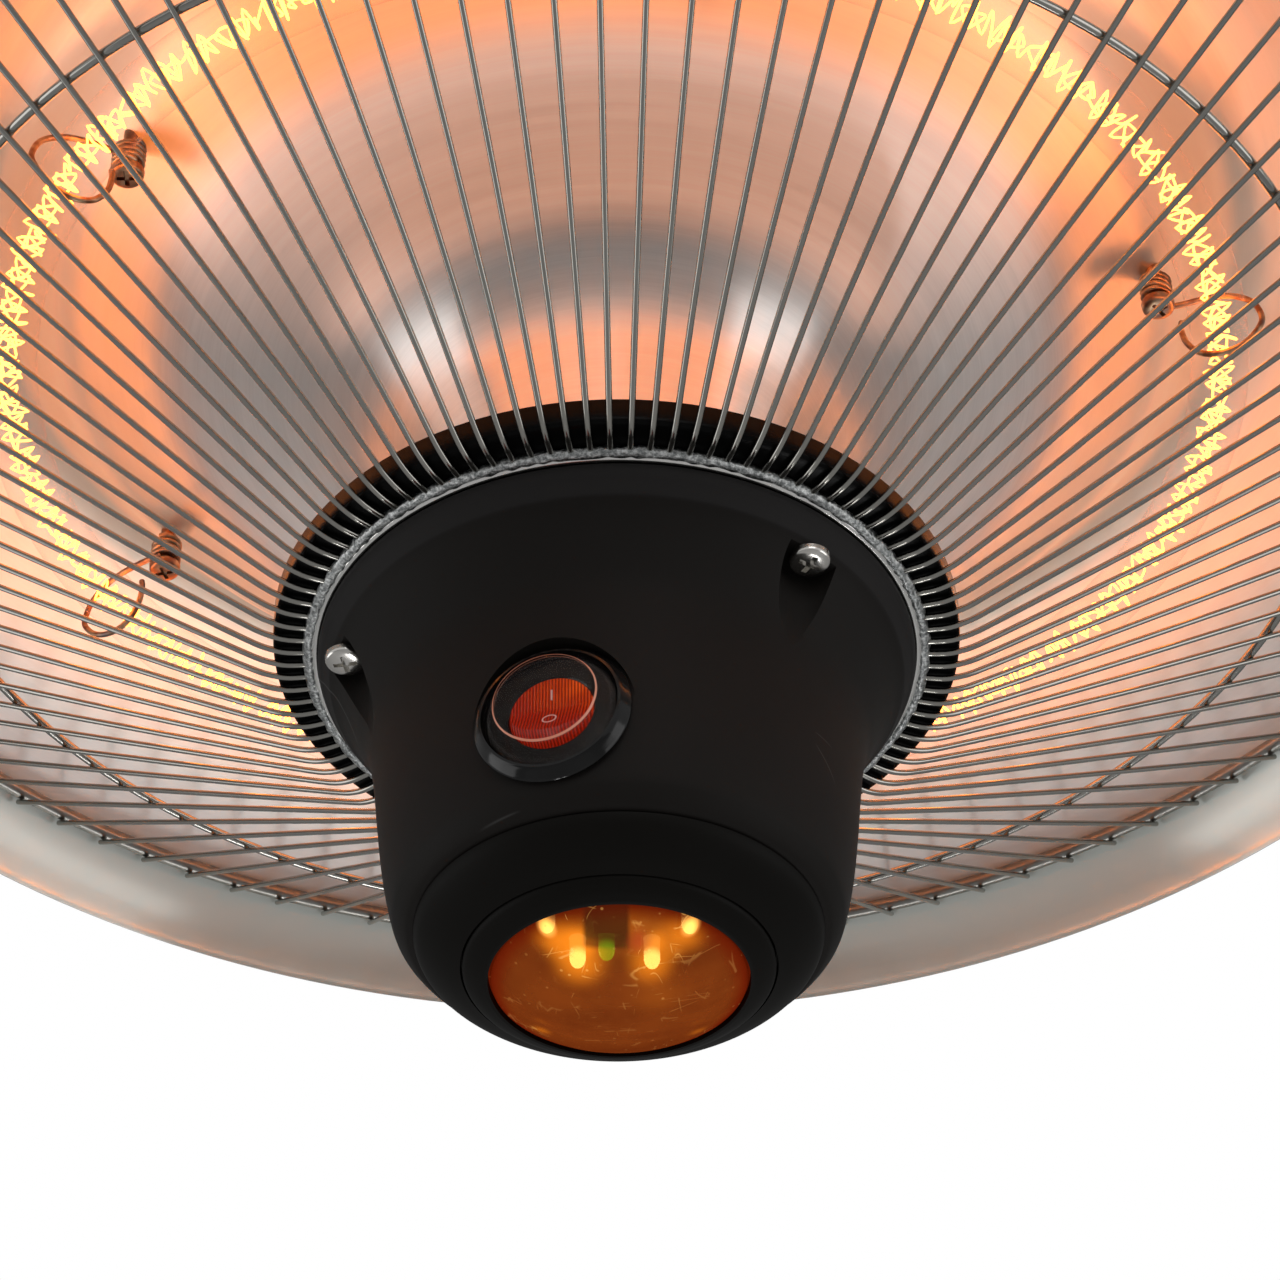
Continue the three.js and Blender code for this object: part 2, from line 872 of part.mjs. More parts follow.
function acrossPin(radius, length) {
  const geometry = cylinder(radius, -length / 2, length / 2, 8);
  geometry.rotateY(Math.PI / 2);
  geometry.translate(0, 0, pivotDepth);
  return geometry;
}

const switchBarrel = turned(
  [
    [0, -17],
    [barrelRadius, -17],
    [barrelRadius, 0.3],
    [12.4, 0.3],
    [12.4, 1.5],
    [0, 1.5],
  ],
  16,
);
const rockerWell = cylinder(9, -13, 4, 16);
piece(
  "switch_body",
  cut(switchBarrel, [rockerWell, acrossPin(boreRadius, 19)]),
  glossBlack(),
  switchGroup,
);
piece("switch_pin", acrossPin(pinRadius, 18.6), steel(), switchGroup);

// The rocker's round face is a shallow V, and at rest its upper half is pressed in.
const rockerBall = new THREE.SphereGeometry(rockerReach, 18, 10);
rockerBall.rotateX(Math.PI / 2);
const faceHeight = 3.4;
const valley = [-1, 1].map((side) => {
  const block = box(20, 14, 10, [0, side * 7, 5]);
  block.rotateX(side * radians(rockerTilt));
  block.translate(0, 0, faceHeight);
  return block;
});
const rockerBase = box(20, 20, 10, [0, 0, -4.5 - 5]);
const boreTool = acrossPin(boreRadius, 24);
boreTool.translate(0, 0, -pivotDepth);
const rockerMesh = piece(
  "rocker",
  cut(rockerBall, [...valley, rockerBase, boreTool]),
  paint(0xd2280c, 0.35),
  switchGroup,
);
rockerMesh.position.z = pivotDepth;
rockerMesh.rotation.x = -radians(rockerTilt);

piece(
  "switch_cap_ring",
  turned(
    [
      [12.8, 0.3],
      [14.6, 0.3],
      [14.6, 1.8],
      [13.6, 3.2],
      [12.8, 3.2],
    ],
    20,
  ),
  glossBlack(),
  switchGroup,
);
piece(
  "switch_cap",
  turned(
    [
      [0, 6.3],
      [9, 6.3],
      [9.9, 5.6],
      [11.3, 2.6],
      [12.4, 2.6],
      [12.4, 1.8],
      [10.5, 1.8],
      [9.1, 5.6],
      [0, 5.6],
    ],
    18,
  ),
  paint(0xf0eeee, 0.1, 0, 0.3),
  switchGroup,
);

export default root;
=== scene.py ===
import math
import random

import bpy
from mathutils import Matrix, Vector


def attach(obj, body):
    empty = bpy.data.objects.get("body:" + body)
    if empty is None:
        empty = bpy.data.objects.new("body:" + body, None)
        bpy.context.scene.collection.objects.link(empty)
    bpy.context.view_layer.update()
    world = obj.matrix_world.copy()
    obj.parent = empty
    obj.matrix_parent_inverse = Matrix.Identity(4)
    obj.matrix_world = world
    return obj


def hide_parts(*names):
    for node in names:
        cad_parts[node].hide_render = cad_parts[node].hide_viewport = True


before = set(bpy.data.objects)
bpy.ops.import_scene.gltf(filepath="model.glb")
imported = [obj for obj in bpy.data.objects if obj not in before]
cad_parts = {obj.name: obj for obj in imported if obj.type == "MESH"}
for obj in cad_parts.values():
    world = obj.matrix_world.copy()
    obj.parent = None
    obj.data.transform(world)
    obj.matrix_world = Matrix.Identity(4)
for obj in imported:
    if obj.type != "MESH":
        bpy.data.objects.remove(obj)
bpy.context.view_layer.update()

bpy.ops.object.select_all(action="DESELECT")
dice = random.Random(7)

# Lengths are written in millimetres, and heights from the plane of the reflector's rim.
mm = 0.001
rimLevel = -116

# shared by several pieces: the ring lamp's line, and the switch's place on the housing
lamp = {"radius": 125, "height": 5, "tube": 6, "ends": (98, 442), "bend": 13, "legTop": 52}
switch = {"angle": -105.6, "height": -110, "seat": 42.5, "pivot": -2, "tilt": 12}


def spot(radius, degrees, height):
    angle = math.radians(degrees)
    return Vector((radius * math.cos(angle), radius * math.sin(angle), height + rimLevel)) * mm


# Shapes

def active():
    return bpy.context.view_layer.objects.active


def named(name, piece=None):
    piece = piece or active()
    piece.name = name
    piece.data.name = name
    return piece


def alone(piece):
    bpy.ops.object.select_all(action="DESELECT")
    piece.select_set(True)
    bpy.context.view_layer.objects.active = piece
    return piece


def applyAll(piece):
    alone(piece)
    for modifier in list(piece.modifiers):
        bpy.ops.object.modifier_apply(modifier=modifier.name)
    return piece


def settle(piece):
    # leaves the place in the mesh and the object at the origin
    alone(piece)
    bpy.ops.object.transform_apply(location=True, rotation=True, scale=True)
    return piece


def shadeSmooth(piece, angle=32):
    alone(piece)
    bpy.ops.object.shade_smooth_by_angle(angle=math.radians(angle))
    return piece


def smoothLine(points, between=5):
    # a Catmull-Rom line through the points
    if len(points) < 3:
        return [tuple(p) for p in points]
    ends = [tuple(2 * a - b for a, b in zip(points[0], points[1]))]
    ends += [tuple(p) for p in points]
    ends += [tuple(2 * a - b for a, b in zip(points[-1], points[-2]))]
    line = []
    for i in range(1, len(ends) - 2):
        p0, p1, p2, p3 = ends[i - 1:i + 3]
        for step in range(between):
            t = step / between
            line.append(tuple(
                0.5 * (2 * b + (c - a) * t + (2 * a - 5 * b + 4 * c - d) * t * t
                       + (3 * b - a - 3 * c + d) * t ** 3)
                for a, b, c, d in zip(p0, p1, p2, p3)))
    line.append(tuple(points[-1]))
    return line


def joinRuns(*runs):
    # smooth runs meet at sharp corners
    line = []
    for run in runs:
        for point in smoothLine(run):
            if not line or math.dist(point, line[-1]) > 1e-4:
                line.append(point)
    return line


def thickened(line, thickness):
    # closes a line into a sheet's section, on the left of its direction
    back = []
    for i, (x, y) in enumerate(line):
        ax, ay = line[max(i - 1, 0)]
        bx, by = line[min(i + 1, len(line) - 1)]
        length = math.hypot(bx - ax, by - ay)
        back.append((x - (by - ay) / length * thickness, y + (bx - ax) / length * thickness))
    return line + back[::-1]


def turned(name, section, steps=160, angle=32, base=rimLevel):
    # spins a closed section, or a line that starts and ends on the axis
    onAxis = section[0][0] < 1e-6 and section[-1][0] < 1e-6
    bpy.ops.mesh.primitive_circle_add(vertices=len(section), radius=1)
    piece = named(name)
    for vertex, (radius, height) in zip(piece.data.vertices, section):
        vertex.co = (radius * mm, 0, (height + base) * mm)
    bpy.ops.object.mode_set(mode="EDIT")
    bpy.ops.mesh.select_all(action="SELECT")
    if onAxis:
        bpy.ops.mesh.select_mode(type="EDGE")
        bpy.ops.mesh.select_all(action="DESELECT")
        bpy.ops.object.mode_set(mode="OBJECT")
        ends = {0, len(section) - 1}
        for edge in piece.data.edges:
            edge.select = set(edge.vertices) == ends
        bpy.ops.object.mode_set(mode="EDIT")
        bpy.ops.mesh.delete(type="EDGE")
        bpy.ops.mesh.select_mode(type="VERT")
        bpy.ops.mesh.select_all(action="SELECT")
    bpy.ops.mesh.spin(steps=steps, angle=2 * math.pi, center=(0, 0, 0), axis=(0, 0, 1))
    bpy.ops.mesh.select_all(action="SELECT")
    bpy.ops.mesh.remove_doubles(threshold=2e-6)
    bpy.ops.mesh.normals_make_consistent(inside=False)
    bpy.ops.object.mode_set(mode="OBJECT")
    return shadeSmooth(piece, angle)


def swept(name, points, radius, sides=3):
    # a round rod along points that are already in metres
    bpy.ops.curve.primitive_nurbs_path_add()
    piece = named(name)
    curve = piece.data
    curve.splines.clear()
    spline = curve.splines.new("POLY")
    spline.points.add(len(points) - 1)
    for point, place in zip(spline.points, points):
        point.co = (*place, 1)
    curve.dimensions = "3D"
    curve.bevel_depth = radius * mm
    curve.bevel_resolution = sides
    curve.use_fill_caps = True
    bpy.ops.object.convert(target="MESH")
    return shadeSmooth(piece, 50)


def ring(name, radius, height, rod, steps=240, sides=14):
    bpy.ops.mesh.primitive_torus_add(
        location=(0, 0, (height + rimLevel) * mm), major_radius=radius * mm, minor_radius=rod * mm,
        major_segments=steps, minor_segments=sides)
    settle(active())
    return shadeSmooth(named(name), 60)


def rod(radius, low, high, sides=48, center=(0, 0)):
    bpy.ops.mesh.primitive_cylinder_add(
        vertices=sides, radius=radius * mm, depth=(high - low) * mm,
        location=(center[0] * mm, center[1] * mm, ((low + high) / 2 + rimLevel) * mm))
    return settle(active())


def block(size, center, base=rimLevel):
    place = (center[0] * mm, center[1] * mm, (center[2] + base) * mm)
    bpy.ops.mesh.primitive_cube_add(size=1, location=place)
    active().scale = [s * mm for s in size]
    return settle(active())


def carve(piece, tool, operation="DIFFERENCE"):
    alone(piece)
    modifier = piece.modifiers.new("carve", "BOOLEAN")
    modifier.object = tool
    modifier.operation = operation
    modifier.solver = "EXACT"
    bpy.ops.object.modifier_apply(modifier=modifier.name)
    bpy.data.objects.remove(tool)
    return piece


def soften(piece, width, segments=2, limit=35):
    modifier = piece.modifiers.new("edges", "BEVEL")
    modifier.width = width * mm
    modifier.segments = segments
    modifier.limit_method = "ANGLE"
    modifier.angle_limit = math.radians(limit)
    modifier.harden_normals = False
    return applyAll(piece)


def copied(piece, name, matrix=None):
    twin = piece.copy()
    twin.data = piece.data.copy()
    bpy.context.collection.objects.link(twin)
    if matrix:
        twin.data.transform(matrix)
    return named(name, twin)


def moved(piece, x=0, y=0, z=0):
    piece.data.transform(Matrix.Translation((x * mm, y * mm, z * mm)))
    return piece


def spun(piece, degrees, axis="Z"):
    piece.data.transform(Matrix.Rotation(math.radians(degrees), 4, axis))
    return piece


def merged(pieces, name):
    bpy.ops.object.select_all(action="DESELECT")
    for piece in pieces:
        piece.select_set(True)
    bpy.context.view_layer.objects.active = pieces[0]
    bpy.ops.object.join()
    return named(name)


def finish(piece, look, slot, *nodes, body="heater"):
    # gives a piece its finish and its body, and hides the solids that it replaces
    piece.data.materials.clear()
    piece.data.materials.append(finishes[look])
    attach(piece, body)
    if nodes:
        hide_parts(*nodes)
    return piece


# Materials: sockets that can be added, multiplied and so on like numbers

class Signal:
    def __init__(self, paint, socket):
        self.paint = paint
        self.socket = socket

    def __add__(self, other):
        return self.paint.maths("ADD", self, other)

    def __radd__(self, other):
        return self.paint.maths("ADD", other, self)

    def __sub__(self, other):
        return self.paint.maths("SUBTRACT", self, other)

    def __rsub__(self, other):
        return self.paint.maths("SUBTRACT", other, self)

    def __mul__(self, other):
        return self.paint.maths("MULTIPLY", self, other)

    def __rmul__(self, other):
        return self.paint.maths("MULTIPLY", other, self)

    def __truediv__(self, other):
        return self.paint.maths("DIVIDE", self, other)

    def __rtruediv__(self, other):
        return self.paint.maths("DIVIDE", other, self)

    def within(self, low, high):
        # 0 at low, 1 at high, eased between
        made = self.paint.node("ShaderNodeMapRange", {"interpolation_type": "SMOOTHSTEP"}, {
            "Value": self, "From Min": low, "From Max": high})
        return Signal(self.paint, made.outputs["Result"])

    def span(self, low, high, base=0):
        # the same between two lengths in mm
        return self.within((low + base) * mm, (high + base) * mm)


class Paint:
    def __init__(self, name):
        self.material = bpy.data.materials.new(name)
        self.material.use_nodes = True
        self.tree = self.material.node_tree
        self.tree.nodes.clear()
        self.shader = self.node("ShaderNodeBsdfPrincipled")
        output = self.node("ShaderNodeOutputMaterial")
        self.tree.links.new(self.shader.outputs["BSDF"], output.inputs["Surface"])
        coordinates = self.node("ShaderNodeTexCoord")
        self.place = Signal(self, coordinates.outputs["Object"])

    def feed(self, socket, value):
        if isinstance(value, Signal):
            self.tree.links.new(value.socket, socket)
        else:
            socket.default_value = value

    def node(self, kind, settings=None, inputs=None):
        made = self.tree.nodes.new(kind)
        for key, value in (settings or {}).items():
            setattr(made, key, value)
        for key, value in (inputs or {}).items():
            self.feed(made.inputs[key], value)
        return made

    def maths(self, operation, *values):
        made = self.node("ShaderNodeMath", {"operation": operation}, dict(enumerate(values)))
        return Signal(self, made.outputs[0])

    def vector(self, operation, *values):
        made = self.node("ShaderNodeVectorMath", {"operation": operation}, dict(enumerate(values)))
        return Signal(self, made.outputs["Value" if operation in ("LENGTH", "DOT_PRODUCT") else "Vector"])

    def noise(self, scale, detail=3, roughness=0.5, place=None, distortion=0):
        made = self.node("ShaderNodeTexNoise", None, {
            "Vector": place or self.place, "Scale": scale, "Detail": detail, "Roughness": roughness,
            "Distortion": distortion})
        return Signal(self, made.outputs["Fac"])

    def stretched(self, scale, turn=(0, 0, 0)):
        made = self.node("ShaderNodeMapping", None, {
            "Vector": self.place, "Scale": scale, "Rotation": turn})
        return Signal(self, made.outputs["Vector"])

    def axes(self, vector=None):
        made = self.node("ShaderNodeSeparateXYZ", None, {"Vector": vector or self.place})
        return [Signal(self, made.outputs[key]) for key in "XYZ"]

    def joined(self, x, y, z):
        made = self.node("ShaderNodeCombineXYZ", None, {"X": x, "Y": y, "Z": z})
        return Signal(self, made.outputs["Vector"])

    def blend(self, factor, first, second):
        made = self.node("ShaderNodeMix", {"data_type": "RGBA"})
        self.feed(made.inputs["Factor"], factor)
        self.feed(made.inputs[6], first)
        self.feed(made.inputs[7], second)
        return Signal(self, made.outputs[2])

    def facing(self, blend=0.5):
        made = self.node("ShaderNodeLayerWeight", None, {"Blend": blend})
        return Signal(self, made.outputs["Facing"])

    def bump(self, height, distance):
        made = self.node("ShaderNodeBump", None, {"Height": height, "Distance": distance * mm})
        return Signal(self, made.outputs["Normal"])

    def set(self, **values):
        names = {
            "color": "Base Color", "rough": "Roughness", "metal": "Metallic", "normal": "Normal",
            "alpha": "Alpha", "glow": "Emission Color", "power": "Emission Strength", "ior": "IOR",
            "spec": "Specular IOR Level"}
        for key, value in values.items():
            if key in ("color", "glow") and not isinstance(value, Signal):
                value = (*value, 1)
            self.feed(self.shader.inputs[names[key]], value)
        return self.material


def shade(level):
    return (level, level, level, 1)


def tone(color, share=1.0):
    # a colour made darker or lighter, as a socket takes it
    return tuple(min(1, c * share) for c in color) + (1,)


# the reflector's zones, by where each starts and where it is whole: the neck by height, others by radius
zones = {
    "neck": (-4, -14), "dish": (50, 62), "dome": (92, 104), "domeEnd": (190, 165), "glowEnd": (184, 160),
    "slopeStart": (113, 119), "slopeEnd": (134, 129), "smooth": (100, 60), "rim": (196, 203)}
# shares of the painted lamp glow in each zone, and the facing range over which it grows
paintedLampGlow = {"neck": 0.36, "dish": 0.34, "dome": 0.16, "slope": 0.5, "facing": (0.31, 0.215)}
brushing = {"fine": 2600, "wide": 420, "cloud": 14, "groove": 0.002}


def brushed(name, light, dark, rough, stretch=0.85, metal=1.0, warm=0.0):
    # fine rings round the centre line, broken up along their length, so highlights stretch outwards
    paint = Paint(name)
    x, y, z = paint.axes()
    flat = paint.joined(x, y, 0.0)
    radius = paint.vector("LENGTH", flat)
    wayX, wayY, wayZ = paint.axes(paint.vector("NORMALIZE", flat))
    along = radius + z * 0.9
    fine = paint.noise(1, 2, 0.6, paint.joined(along * brushing["fine"], wayX * 2, wayY * 2))
    wide = paint.noise(1, 3, 0.6, paint.joined(along * brushing["wide"], wayX * 1.2, wayY * 1.2))
    cloud = paint.noise(brushing["cloud"], 3, 0.5)
    mixLine = fine * 0.3 + wide * 0.4 + cloud * 0.3
    color = paint.blend(mixLine.within(0.25, 0.75), tone(dark), tone(light))
    roughness = rough - 0.05 + wide * 0.06 + cloud * 0.05

    def zone(name, value=radius, base=0):
        return value.span(*zones[name], base)

    # warm sets the strength of the painted lamp glow; it also turns on the rim's finish and the dome's
    # painted warm tint
    if warm:
        # the rolled rim is smoother and greyer than the dish
        atRim = zone("rim")
        roughness = roughness - atRim * 0.2
        metal = metal - atRim * 0.4
        color = paint.blend(atRim * 0.9, color, (0.69, 0.73, 0.68, 1))
        # painted glow: the emission stands for the lamp's reflection on the neck, the dish and the dome,
        # strongest where the sheet faces the eye
        neck = zone("neck", z, rimLevel)
        dish = zone("dish")
        dome = zone("dome")
        slope = zone("slopeStart") * zone("slopeEnd")
        # painted reflection: the dome's base colour is warmed toward tan, standing for the lamp's warm
        # light reflected there
        color = paint.blend(dome * zone("domeEnd") * 0.6, color, (0.73, 0.61, 0.46, 1))
        share = neck * paintedLampGlow["neck"] + dish * paintedLampGlow["dish"] + dome * paintedLampGlow["dome"]
        toEye = paint.facing(0.5).within(*paintedLampGlow["facing"]) + slope * paintedLampGlow["slope"]
        hue = paint.blend(paint.maths("MAXIMUM", neck, dome), (1.0, 0.46, 0.28, 1), (1.0, 0.22, 0.02, 1))
        glow = paint.blend(share * zone("glowEnd") * toEye * (0.8 + wide * 0.4), shade(0.0), hue)
        paint.set(glow=glow, power=warm)
        roughness = roughness - zone("smooth") * 0.08
    paint.shader.inputs["Anisotropic"].default_value = stretch
    paint.shader.inputs["Anisotropic Rotation"].default_value = 0.25
    grooves = paint.bump(fine * 0.6 + wide * 0.4, brushing["groove"])
    return paint.set(color=color, metal=metal, rough=roughness, normal=grooves)


def plated(name, color, rough, grain=0.002, blotch=0.06):
    paint = Paint(name)
    cloud = paint.noise(60, 3)
    fine = paint.noise(900, 2)
    tint = paint.blend(cloud, tone(color, 0.86), tone(color))
    roughness = rough - blotch / 2 + cloud * blotch
    return paint.set(color=tint, metal=1.0, rough=roughness, normal=paint.bump(fine, grain))


def moulded(name, color, rough, grain=0.01, scratches=0.0, spec=0.4, paintedLipHighlight=None):
    # fine spark-eroded texture, with faint handling marks where asked, and where asked a painted highlight
    # that lightens the top band above a given height
    paint = Paint(name)
    fine = paint.noise(2600, 2, 0.6)
    cloud = paint.noise(35, 3)
    tint = paint.blend(cloud, tone(color, 0.85), tone(color, 1.15))
    roughness = rough + (cloud - 0.5) * 0.08
    if paintedLipHighlight:
        # painted highlight: above the given height the colour is lighter, as where the band faces the light
        x, y, z = paint.axes()
        above = z.span(paintedLipHighlight - 0.4, paintedLipHighlight + 0.4, rimLevel)
        tint = paint.blend(above * 0.35, tint, (0.030, 0.029, 0.030, 1))
    if scratches:
        trail = paint.noise(9, 1, 0.4, paint.stretched((0.35, 1, 5), (0.3, 0.2, 0.5)), 0.6)
        gate = paint.noise(30, 1).within(0.64, 0.68)
        line = (1.0 - paint.maths("ABSOLUTE", trail - 0.5) / 0.0035).within(0.0, 1.0) * gate
        tint = paint.blend(line * scratches, tint, shade(0.25))
        roughness = roughness - line * 0.1
    return paint.set(color=tint, rough=roughness, normal=paint.bump(fine, grain), spec=spec)


def glossy(name, color, rough=0.12, spec=0.5):
    paint = Paint(name)
    cloud = paint.noise(45, 3)
    ripple = paint.noise(300, 2)
    tint = paint.blend(cloud, tone(color, 0.8), tone(color))
    return paint.set(color=tint, rough=rough + cloud * 0.06, normal=paint.bump(ripple, 0.003), spec=spec)


def heatTinted(name):
    # straw, brown and blue bands, as steel wire gets beside the lamp
    paint = Paint(name)
    band = paint.noise(260, 2, 0.6)
    warm = paint.blend(band.within(0.35, 0.6), (0.28, 0.13, 0.07, 1), (0.55, 0.38, 0.24, 1))
    tint = paint.blend(paint.noise(120, 2).within(0.5, 0.75), warm, (0.16, 0.13, 0.15, 1))
    return paint.set(color=tint, metal=1.0, rough=0.3 + band * 0.15, normal=paint.bump(band, 0.01))


def clear(name, color, low, high):
    # thin glass or clear plastic: its edges show more than its face
    paint = Paint(name)
    edge = paint.facing(0.3)
    smear = paint.noise(70, 3)
    tint = paint.blend(smear, tone(color, 0.92), tone(color))
    paint.material.surface_render_method = "BLENDED"
    alpha = low + edge * edge * edge * (high - low)
    return paint.set(color=tint, rough=0.05 + smear * 0.04, alpha=alpha, ior=1.45, spec=0.5)


def glowing(name, color, glow, power):
    paint = Paint(name)
    cloud = paint.noise(500, 2)
    tint = paint.blend(cloud, tone(glow, 0.85), tone(glow))
    return paint.set(color=color, glow=tint, power=power, rough=0.5)


tipHeights = (-133.4, -136.0)  # where a light's tip starts to glow, and where it is full


def lightTip(name, glow, power):
    # a clear body whose domed tip glows
    paint = Paint(name)
    x, y, z = paint.axes()
    tint = paint.blend(z.span(*tipHeights, rimLevel), tone(glow, 0.1), tone(glow))
    body = paint.blend(paint.noise(700, 2), (0.16, 0.11, 0.06, 1), (0.22, 0.15, 0.08, 1))
    return paint.set(color=body, glow=tint, power=power, rough=0.25)


def welded(name):
    # rough run of weld: dark silver with bright facets
    paint = Paint(name)
    lump = paint.noise(1100, 3, 0.7)
    tint = paint.blend(lump.within(0.35, 0.7), (0.20, 0.21, 0.21, 1), (0.78, 0.79, 0.78, 1))
    return paint.set(color=tint, metal=1.0, rough=0.22 + lump * 0.2, normal=paint.bump(lump, 0.35))


def boardGreen(name):
    paint = Paint(name)
    cells = paint.node("ShaderNodeTexVoronoi", {"feature": "DISTANCE_TO_EDGE"}, {
        "Vector": paint.place, "Scale": 260})
    tracks = Signal(paint, cells.outputs["Distance"]).within(0.02, 0.06)
    tint = paint.blend(tracks, (0.09, 0.28, 0.14, 1), (0.03, 0.16, 0.08, 1))
    return paint.set(color=tint, rough=0.45 + paint.noise(80) * 0.1)


def woven(name, color):
    paint = Paint(name)
    x, y, z = paint.axes()
    weave = paint.maths("SINE", (x + z) * 5200) * paint.maths("SINE", (y - z) * 5200)
    tint = paint.blend(weave.within(-1, 1), tone(color, 0.75), tone(color))
    return paint.set(color=tint, rough=0.8, normal=paint.bump(weave, 0.05))


finishes = {
    # the reflector's emission carries a painted glow of the lamp, at strength 1.35
    "reflector": brushed(
        "spun aluminium", (0.80, 0.77, 0.74), (0.68, 0.65, 0.62), 0.4, stretch=0.8, metal=0.9, warm=1.35),
    "cover": brushed("spun cover", (0.66, 0.65, 0.63), (0.52, 0.51, 0.49), 0.36),
    "nickel": plated("nickel plate", (0.72, 0.70, 0.66), 0.2),
    "zinc": plated("zinc plate", (0.62, 0.62, 0.61), 0.32),
    # painted shade: these two copies of the wire plating are darkened, the outer hoop more, to stand for
    # the dark surroundings they reflect
    "wire": plated("bright wire", (0.37, 0.36, 0.33), 0.13, 0.003),
    "hoop": plated("hoop wire", (0.26, 0.25, 0.23), 0.32, 0.003),
    "ring": plated("bright ring", (0.90, 0.89, 0.86), 0.16, 0.003),
    "weld": welded("hub weld"),
    "tinted": heatTinted("heat tinted wire"),
    # the housing's top band, above height -69.6, carries a painted highlight
    "black": moulded("black moulding", (0.0098, 0.0084, 0.0074), 0.58, 0.006, 0.12, 0.1, -69.6),
    "blackCap": moulded("lower cap black", (0.0052, 0.0046, 0.0038), 0.52, 0.005, 0.0, 0.07),
    "gloss": glossy("gloss black", (0.005, 0.005, 0.005), 0.1, 0.3),
    "enamel": glossy("black enamel", (0.004, 0.004, 0.004), 0.22, 0.06),
    "ceramic": moulded("steatite", (0.72, 0.68, 0.6), 0.6, 0.02),
    "board": boardGreen("circuit board"),
    "blue": glossy("relay blue", (0.03, 0.09, 0.35), 0.3),
    "sleeve": glossy("shrink sleeve", (0.02, 0.025, 0.03), 0.3),
    "green": moulded("terminal green", (0.04, 0.22, 0.09), 0.45),
    "woven": woven("woven sleeve", (0.75, 0.72, 0.66)),
    "window": glossy("dark window", (0.02, 0.012, 0.01), 0.12),
    "quartz": clear("quartz glass", (0.62, 0.42, 0.34), 0.02, 0.5),
    "coil": glowing("glowing coil", (0.2, 0.1, 0.05), (1.0, 0.25, 0.027), 13.5),
    "warmLight": lightTip("warm light", (1.0, 0.58, 0.14), 30.0),
    "greenLight": lightTip("green light", (0.16, 0.80, 0.01), 6.0),
    "redPart": glossy("red component", (0.4, 0.05, 0.02), 0.25),
}


def near(paint, x, y, spotX, spotY, reach):
    # 1 at a place in plan, given in mm, and 0 beyond its reach
    offset = paint.joined(x - spotX * mm, y - spotY * mm, 0.0)
    return paint.vector("LENGTH", offset).span(reach, 0)


lensLook = {  # in plan, in mm: painted lit spots with their reach and share, and the painted bright cores of the two lights nearest the eye
    "paintedLitSpots": (
        (-12.9, -18.1, 7.5, 0.7), (12.8, -17.9, 7.5, 0.7), (-7.2, -12.6, 8, 0.9), (5.8, -12.4, 7, 0.8),
        (-6.7, -16.8, 4, 0.5), (6.3, -16.6, 3, 0.4), (-14.4, 10.7, 3, 0.5), (14.4, 12.3, 3, 0.4),
        (0, -22, 11, 0.45), (-10, -19, 9, 0.25), (10, -19, 9, 0.25), (7, -4, 9, 0.22), (-9, -6, 8, 0.12)),
    "paintedLightCores": ((-12.9, -18.0), (12.8, -18.0)), "paintedCoreReach": 2.2, "edge": (19.5, 23.5),
    "receiver": ((-6.9, -5.7), (2.4, 1.2), (-15.4, -16.8)), "paintedRedGlow": (3.6, -17.0, 3.2),
    "scratches": (  # scale, squeeze, turn and thickness
        (120, (1, 0.22, 1), 0.9, 0.010), (150, (0.2, 1, 1), 0.4, 0.012), (170, (1, 0.3, 1), -0.7, 0.013),
        (130, (0.25, 1, 1), -0.2, 0.010))}


